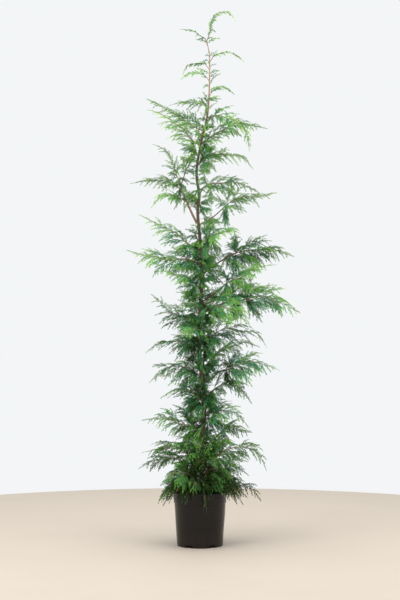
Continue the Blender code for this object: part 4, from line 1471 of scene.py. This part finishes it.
def soil_fill(finish):
    """The soil: a disc drawn up the pot's wall and in over its uneven top.

    Its foot is drawn in, so that the drain slots are dark hollows.
    """
    deselect_all()
    neck = POT_HEIGHT - POT_RIM_DEPTH
    foot = POT_FOOT_RADIUS - POT_WALL - 2.0 * GAP
    mouth = POT_RIM_RADIUS - POT_WALL - POT_WARP
    bpy.ops.mesh.primitive_circle_add(
        vertices=POT_SIDES,
        radius=foot - SOIL_FOOT_INSET,
        location=(0.0, 0.0, POT_FLOOR + GAP),
        fill_type="NGON",
    )
    soil = bpy.context.view_layer.objects.active
    soil.name = "potting_soil"
    profile = [
        (foot - SOIL_FOOT_INSET, POT_FLOOR + GAP),
        (foot - SOIL_FOOT_INSET, SOIL_FOOT_HEIGHT - 0.5 * SOIL_FOOT_INSET),
        (foot, SOIL_FOOT_HEIGHT),
        (POT_NECK_RADIUS - POT_WALL - POT_GROOVE - POT_WARP, neck),
        (mouth, neck + 2.0 * POT_ROUNDING),
        (mouth, SOIL_TOP - SOIL_SINK),
    ]
    for ring in range(1, SOIL_RINGS):
        share = ring / SOIL_RINGS
        profile.append((mouth * (1.0 - share), SOIL_TOP - SOIL_SINK * (1.0 - share) ** SOIL_SINK_POWER))
    bpy.ops.object.mode_set(mode="EDIT")
    extrude_profile(profile)
    bpy.ops.mesh.select_all(action="SELECT")
    bpy.ops.mesh.normals_make_consistent(inside=False)
    bpy.ops.object.mode_set(mode="OBJECT")
    bpy.ops.object.transform_apply(location=True, rotation=True, scale=True)
    for vertex in soil.data.vertices:
        place = vertex.co
        if place.z > SOIL_TOP - SOIL_SINK - GAP:
            lump = noise.noise(place * SOIL_LUMPS_PER_METRE)
            grain = SOIL_GRAIN_SHARE * noise.noise(place * SOIL_GRAINS_PER_METRE)
            vertex.co.z += SOIL_LUMPS * (lump + grain)
    soil.data.materials.append(finish)
    return soil


def soil_crumbs(finish):
    """Crumbs of bark and peat that lie on the soil, each an uneven block."""
    dice = random.Random(SEED)
    corners = [Vector((x, y, z)) for x in (-1, 1) for y in (-1, 1) for z in (-1, 1)]
    quads = ((0, 1, 3, 2), (4, 6, 7, 5), (0, 4, 5, 1), (2, 3, 7, 6), (0, 2, 6, 4), (1, 5, 7, 3))
    faces = []
    for a, b, c, d in quads:
        faces += [(a, b, c), (a, c, d)]
    heap = Heap()
    mouth = POT_RIM_RADIUS - POT_WALL - CRUMB_MARGIN
    for crumb in range(CRUMB_COUNT):
        spread = mouth * math.sqrt(dice.random())
        azimuth = dice.uniform(0.0, 360.0)
        size = CRUMB_SIZES[0] + (CRUMB_SIZES[1] - CRUMB_SIZES[0]) * dice.random() ** CRUMB_SIZE_POWER
        stretch = Vector([dice.uniform(*reach) for reach in CRUMB_STRETCH])
        tilt_x = dice.uniform(-CRUMB_TILT, CRUMB_TILT)
        tilt_y = dice.uniform(-CRUMB_TILT, CRUMB_TILT)
        turn = Matrix.Rotation(dice.uniform(0.0, math.tau), 3, "Z")
        sink = SOIL_SINK * (spread / mouth) ** SOIL_SINK_POWER
        centre = heading(azimuth) * spread
        centre.z = SOIL_TOP - sink + CRUMB_LIFT * size
        centre.z += SOIL_LUMPS * noise.noise(centre * SOIL_LUMPS_PER_METRE)
        placed = []
        for corner in corners:
            sizes = [size * s * dice.uniform(*CRUMB_CORNER_CHANGE) for s in stretch]
            shaped = Vector([c * s for c, s in zip(corner, sizes)])
            turned = turn @ shaped
            turned.z += tilt_x * shaped.x + tilt_y * shaped.y
            placed.append(centre + turned)
        heap.add(np.array(placed), np.array(faces))
    return heap.make("soil_crumbs", finish, False)


def dress(piece, slot, *nodes):
    """Puts a piece on the plant's body, in place of the solids it stands for."""
    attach(piece, "root")
    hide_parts(*nodes)


def build_pot_and_soil():
    """The pot and its soil."""
    compost = potting_compost()
    dress(nursery_pot(moulded_polythene()), "pot", "pot")
    dress(soil_fill(compost), "soil", "soil")
    dress(soil_crumbs(compost), "soil", "soil")


def build_plant():
    """The trunk, the boughs and the crown."""
    trunk = trunk_limb(TRUNK_STEPS_PER_BEND)
    second_stem = second_stem_limb(trunk)
    plumes = all_plumes(trunk, second_stem)
    bark = cypress_bark("cypress bark", *TRUNK_BARK_HEIGHTS)
    young_wood = cypress_bark("bark of younger wood", *BOUGH_BARK_HEIGHTS)
    trunk_line = trunk_limb(TRUNK_SMOOTH_STEPS)
    dress(bark_tube("trunk_bark", trunk_line, TRUNK_MESH, bark), "bark", "trunk")
    dress(bark_tube("cut_stub", cut_stub(trunk), STUB_MESH, bark), "bark", "trunk")
    second_bark = bark_tube("second_stem_bark", second_stem, SECOND_STEM_MESH, young_wood)
    dress(second_bark, "bark", "bough_second_stem")
    limbs = [trunk, second_stem]
    for plume in plumes:
        if plume.bough:
            limbs.append(plume.bough)
            bough = bark_tube(f"bough_bark_{plume.name}", plume.bough, BOUGH_MESH, young_wood)
            dress(bough, "bark", f"bough_{plume.name}")
    dress_crown(plumes, Crown(plumes, limbs))


def dress_crown(plumes, crown):
    """Stems, twigs and leaves, each a mesh for one zone of the crown and the leaves by colour."""
    stems, twigs, sprays = grow_crown(plumes, crown)
    nodes = {zone: [p.node for p in plumes if p.zone() == zone] for zone, lowest in ZONES}
    stem_finish = young_bark()
    twig_finish = green_twig()
    for zone in stems:
        dress(stems[zone].make(f"stems_{zone}", stem_finish, True), "bark", *nodes[zone])
        dress(twigs[zone].make(f"twigs_{zone}", twig_finish, True), "foliage", *nodes[zone])
    finishes = {name: scale_leaves(*colours) for name, colours in LEAF_COLOURS.items()}
    shapes = {}
    for size, length in enumerate(SPRAY_SIZES):
        for kind in range(SPRAY_KINDS):
            shapes[size, kind] = spray_shape(length, random.Random(f"spray {size} {kind}"))
    for (zone, colour), groups in sorted(sprays.items()):
        heap = lay_sprays(groups, shapes, crown)
        if heap.count:
            piece = heap.make(f"leaves_{zone}_{colour}", finishes[colour], False)
            dress(piece, "foliage", *nodes[zone])


def build_studio():
    """The plain floor, the soft light and the camera."""
    deselect_all()
    bpy.ops.mesh.primitive_circle_add(vertices=FLOOR_SIDES, radius=FLOOR_RADIUS, fill_type="NGON")
    floor = bpy.context.view_layer.objects.active
    floor.name = "floor"
    floor.data.materials.append(pale_floor())
    floor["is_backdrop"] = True
    for name, place, size, watts in LIGHTS:
        lamp = bpy.data.lights.new(name, "AREA")
        lamp.size = size
        lamp.energy = watts
        light = bpy.data.objects.new(name, lamp)
        light.location = place
        aim = Vector(LIGHTS_AIM) - Vector(place)
        light.rotation_euler = aim.to_track_quat("-Z", "Y").to_euler()
        bpy.context.scene.collection.objects.link(light)
    world = bpy.data.worlds.new("studio")
    world.use_nodes = True
    background = world.node_tree.nodes["Background"]
    background.inputs["Color"].default_value = linear(BACKDROP)
    background.inputs["Strength"].default_value = 1.0
    bpy.context.scene.world = world
    lens = bpy.data.cameras.new("camera")
    lens.sensor_fit = "VERTICAL"
    lens.sensor_height = FILM_HEIGHT
    lens.lens = FOCAL_PIXELS / PICTURE_HEIGHT * FILM_HEIGHT
    camera = bpy.data.objects.new("camera", lens)
    camera.location = CAMERA_PLACE
    camera.rotation_euler = (math.radians(90.0 + CAMERA_RISE), 0.0, 0.0)
    bpy.context.scene.collection.objects.link(camera)
    bpy.context.scene.camera = camera
    bpy.context.scene.view_settings.view_transform = "Standard"


build_studio()
build_pot_and_soil()
build_plant()

[[list(corner) for corner in box] for box in (cad_box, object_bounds())]
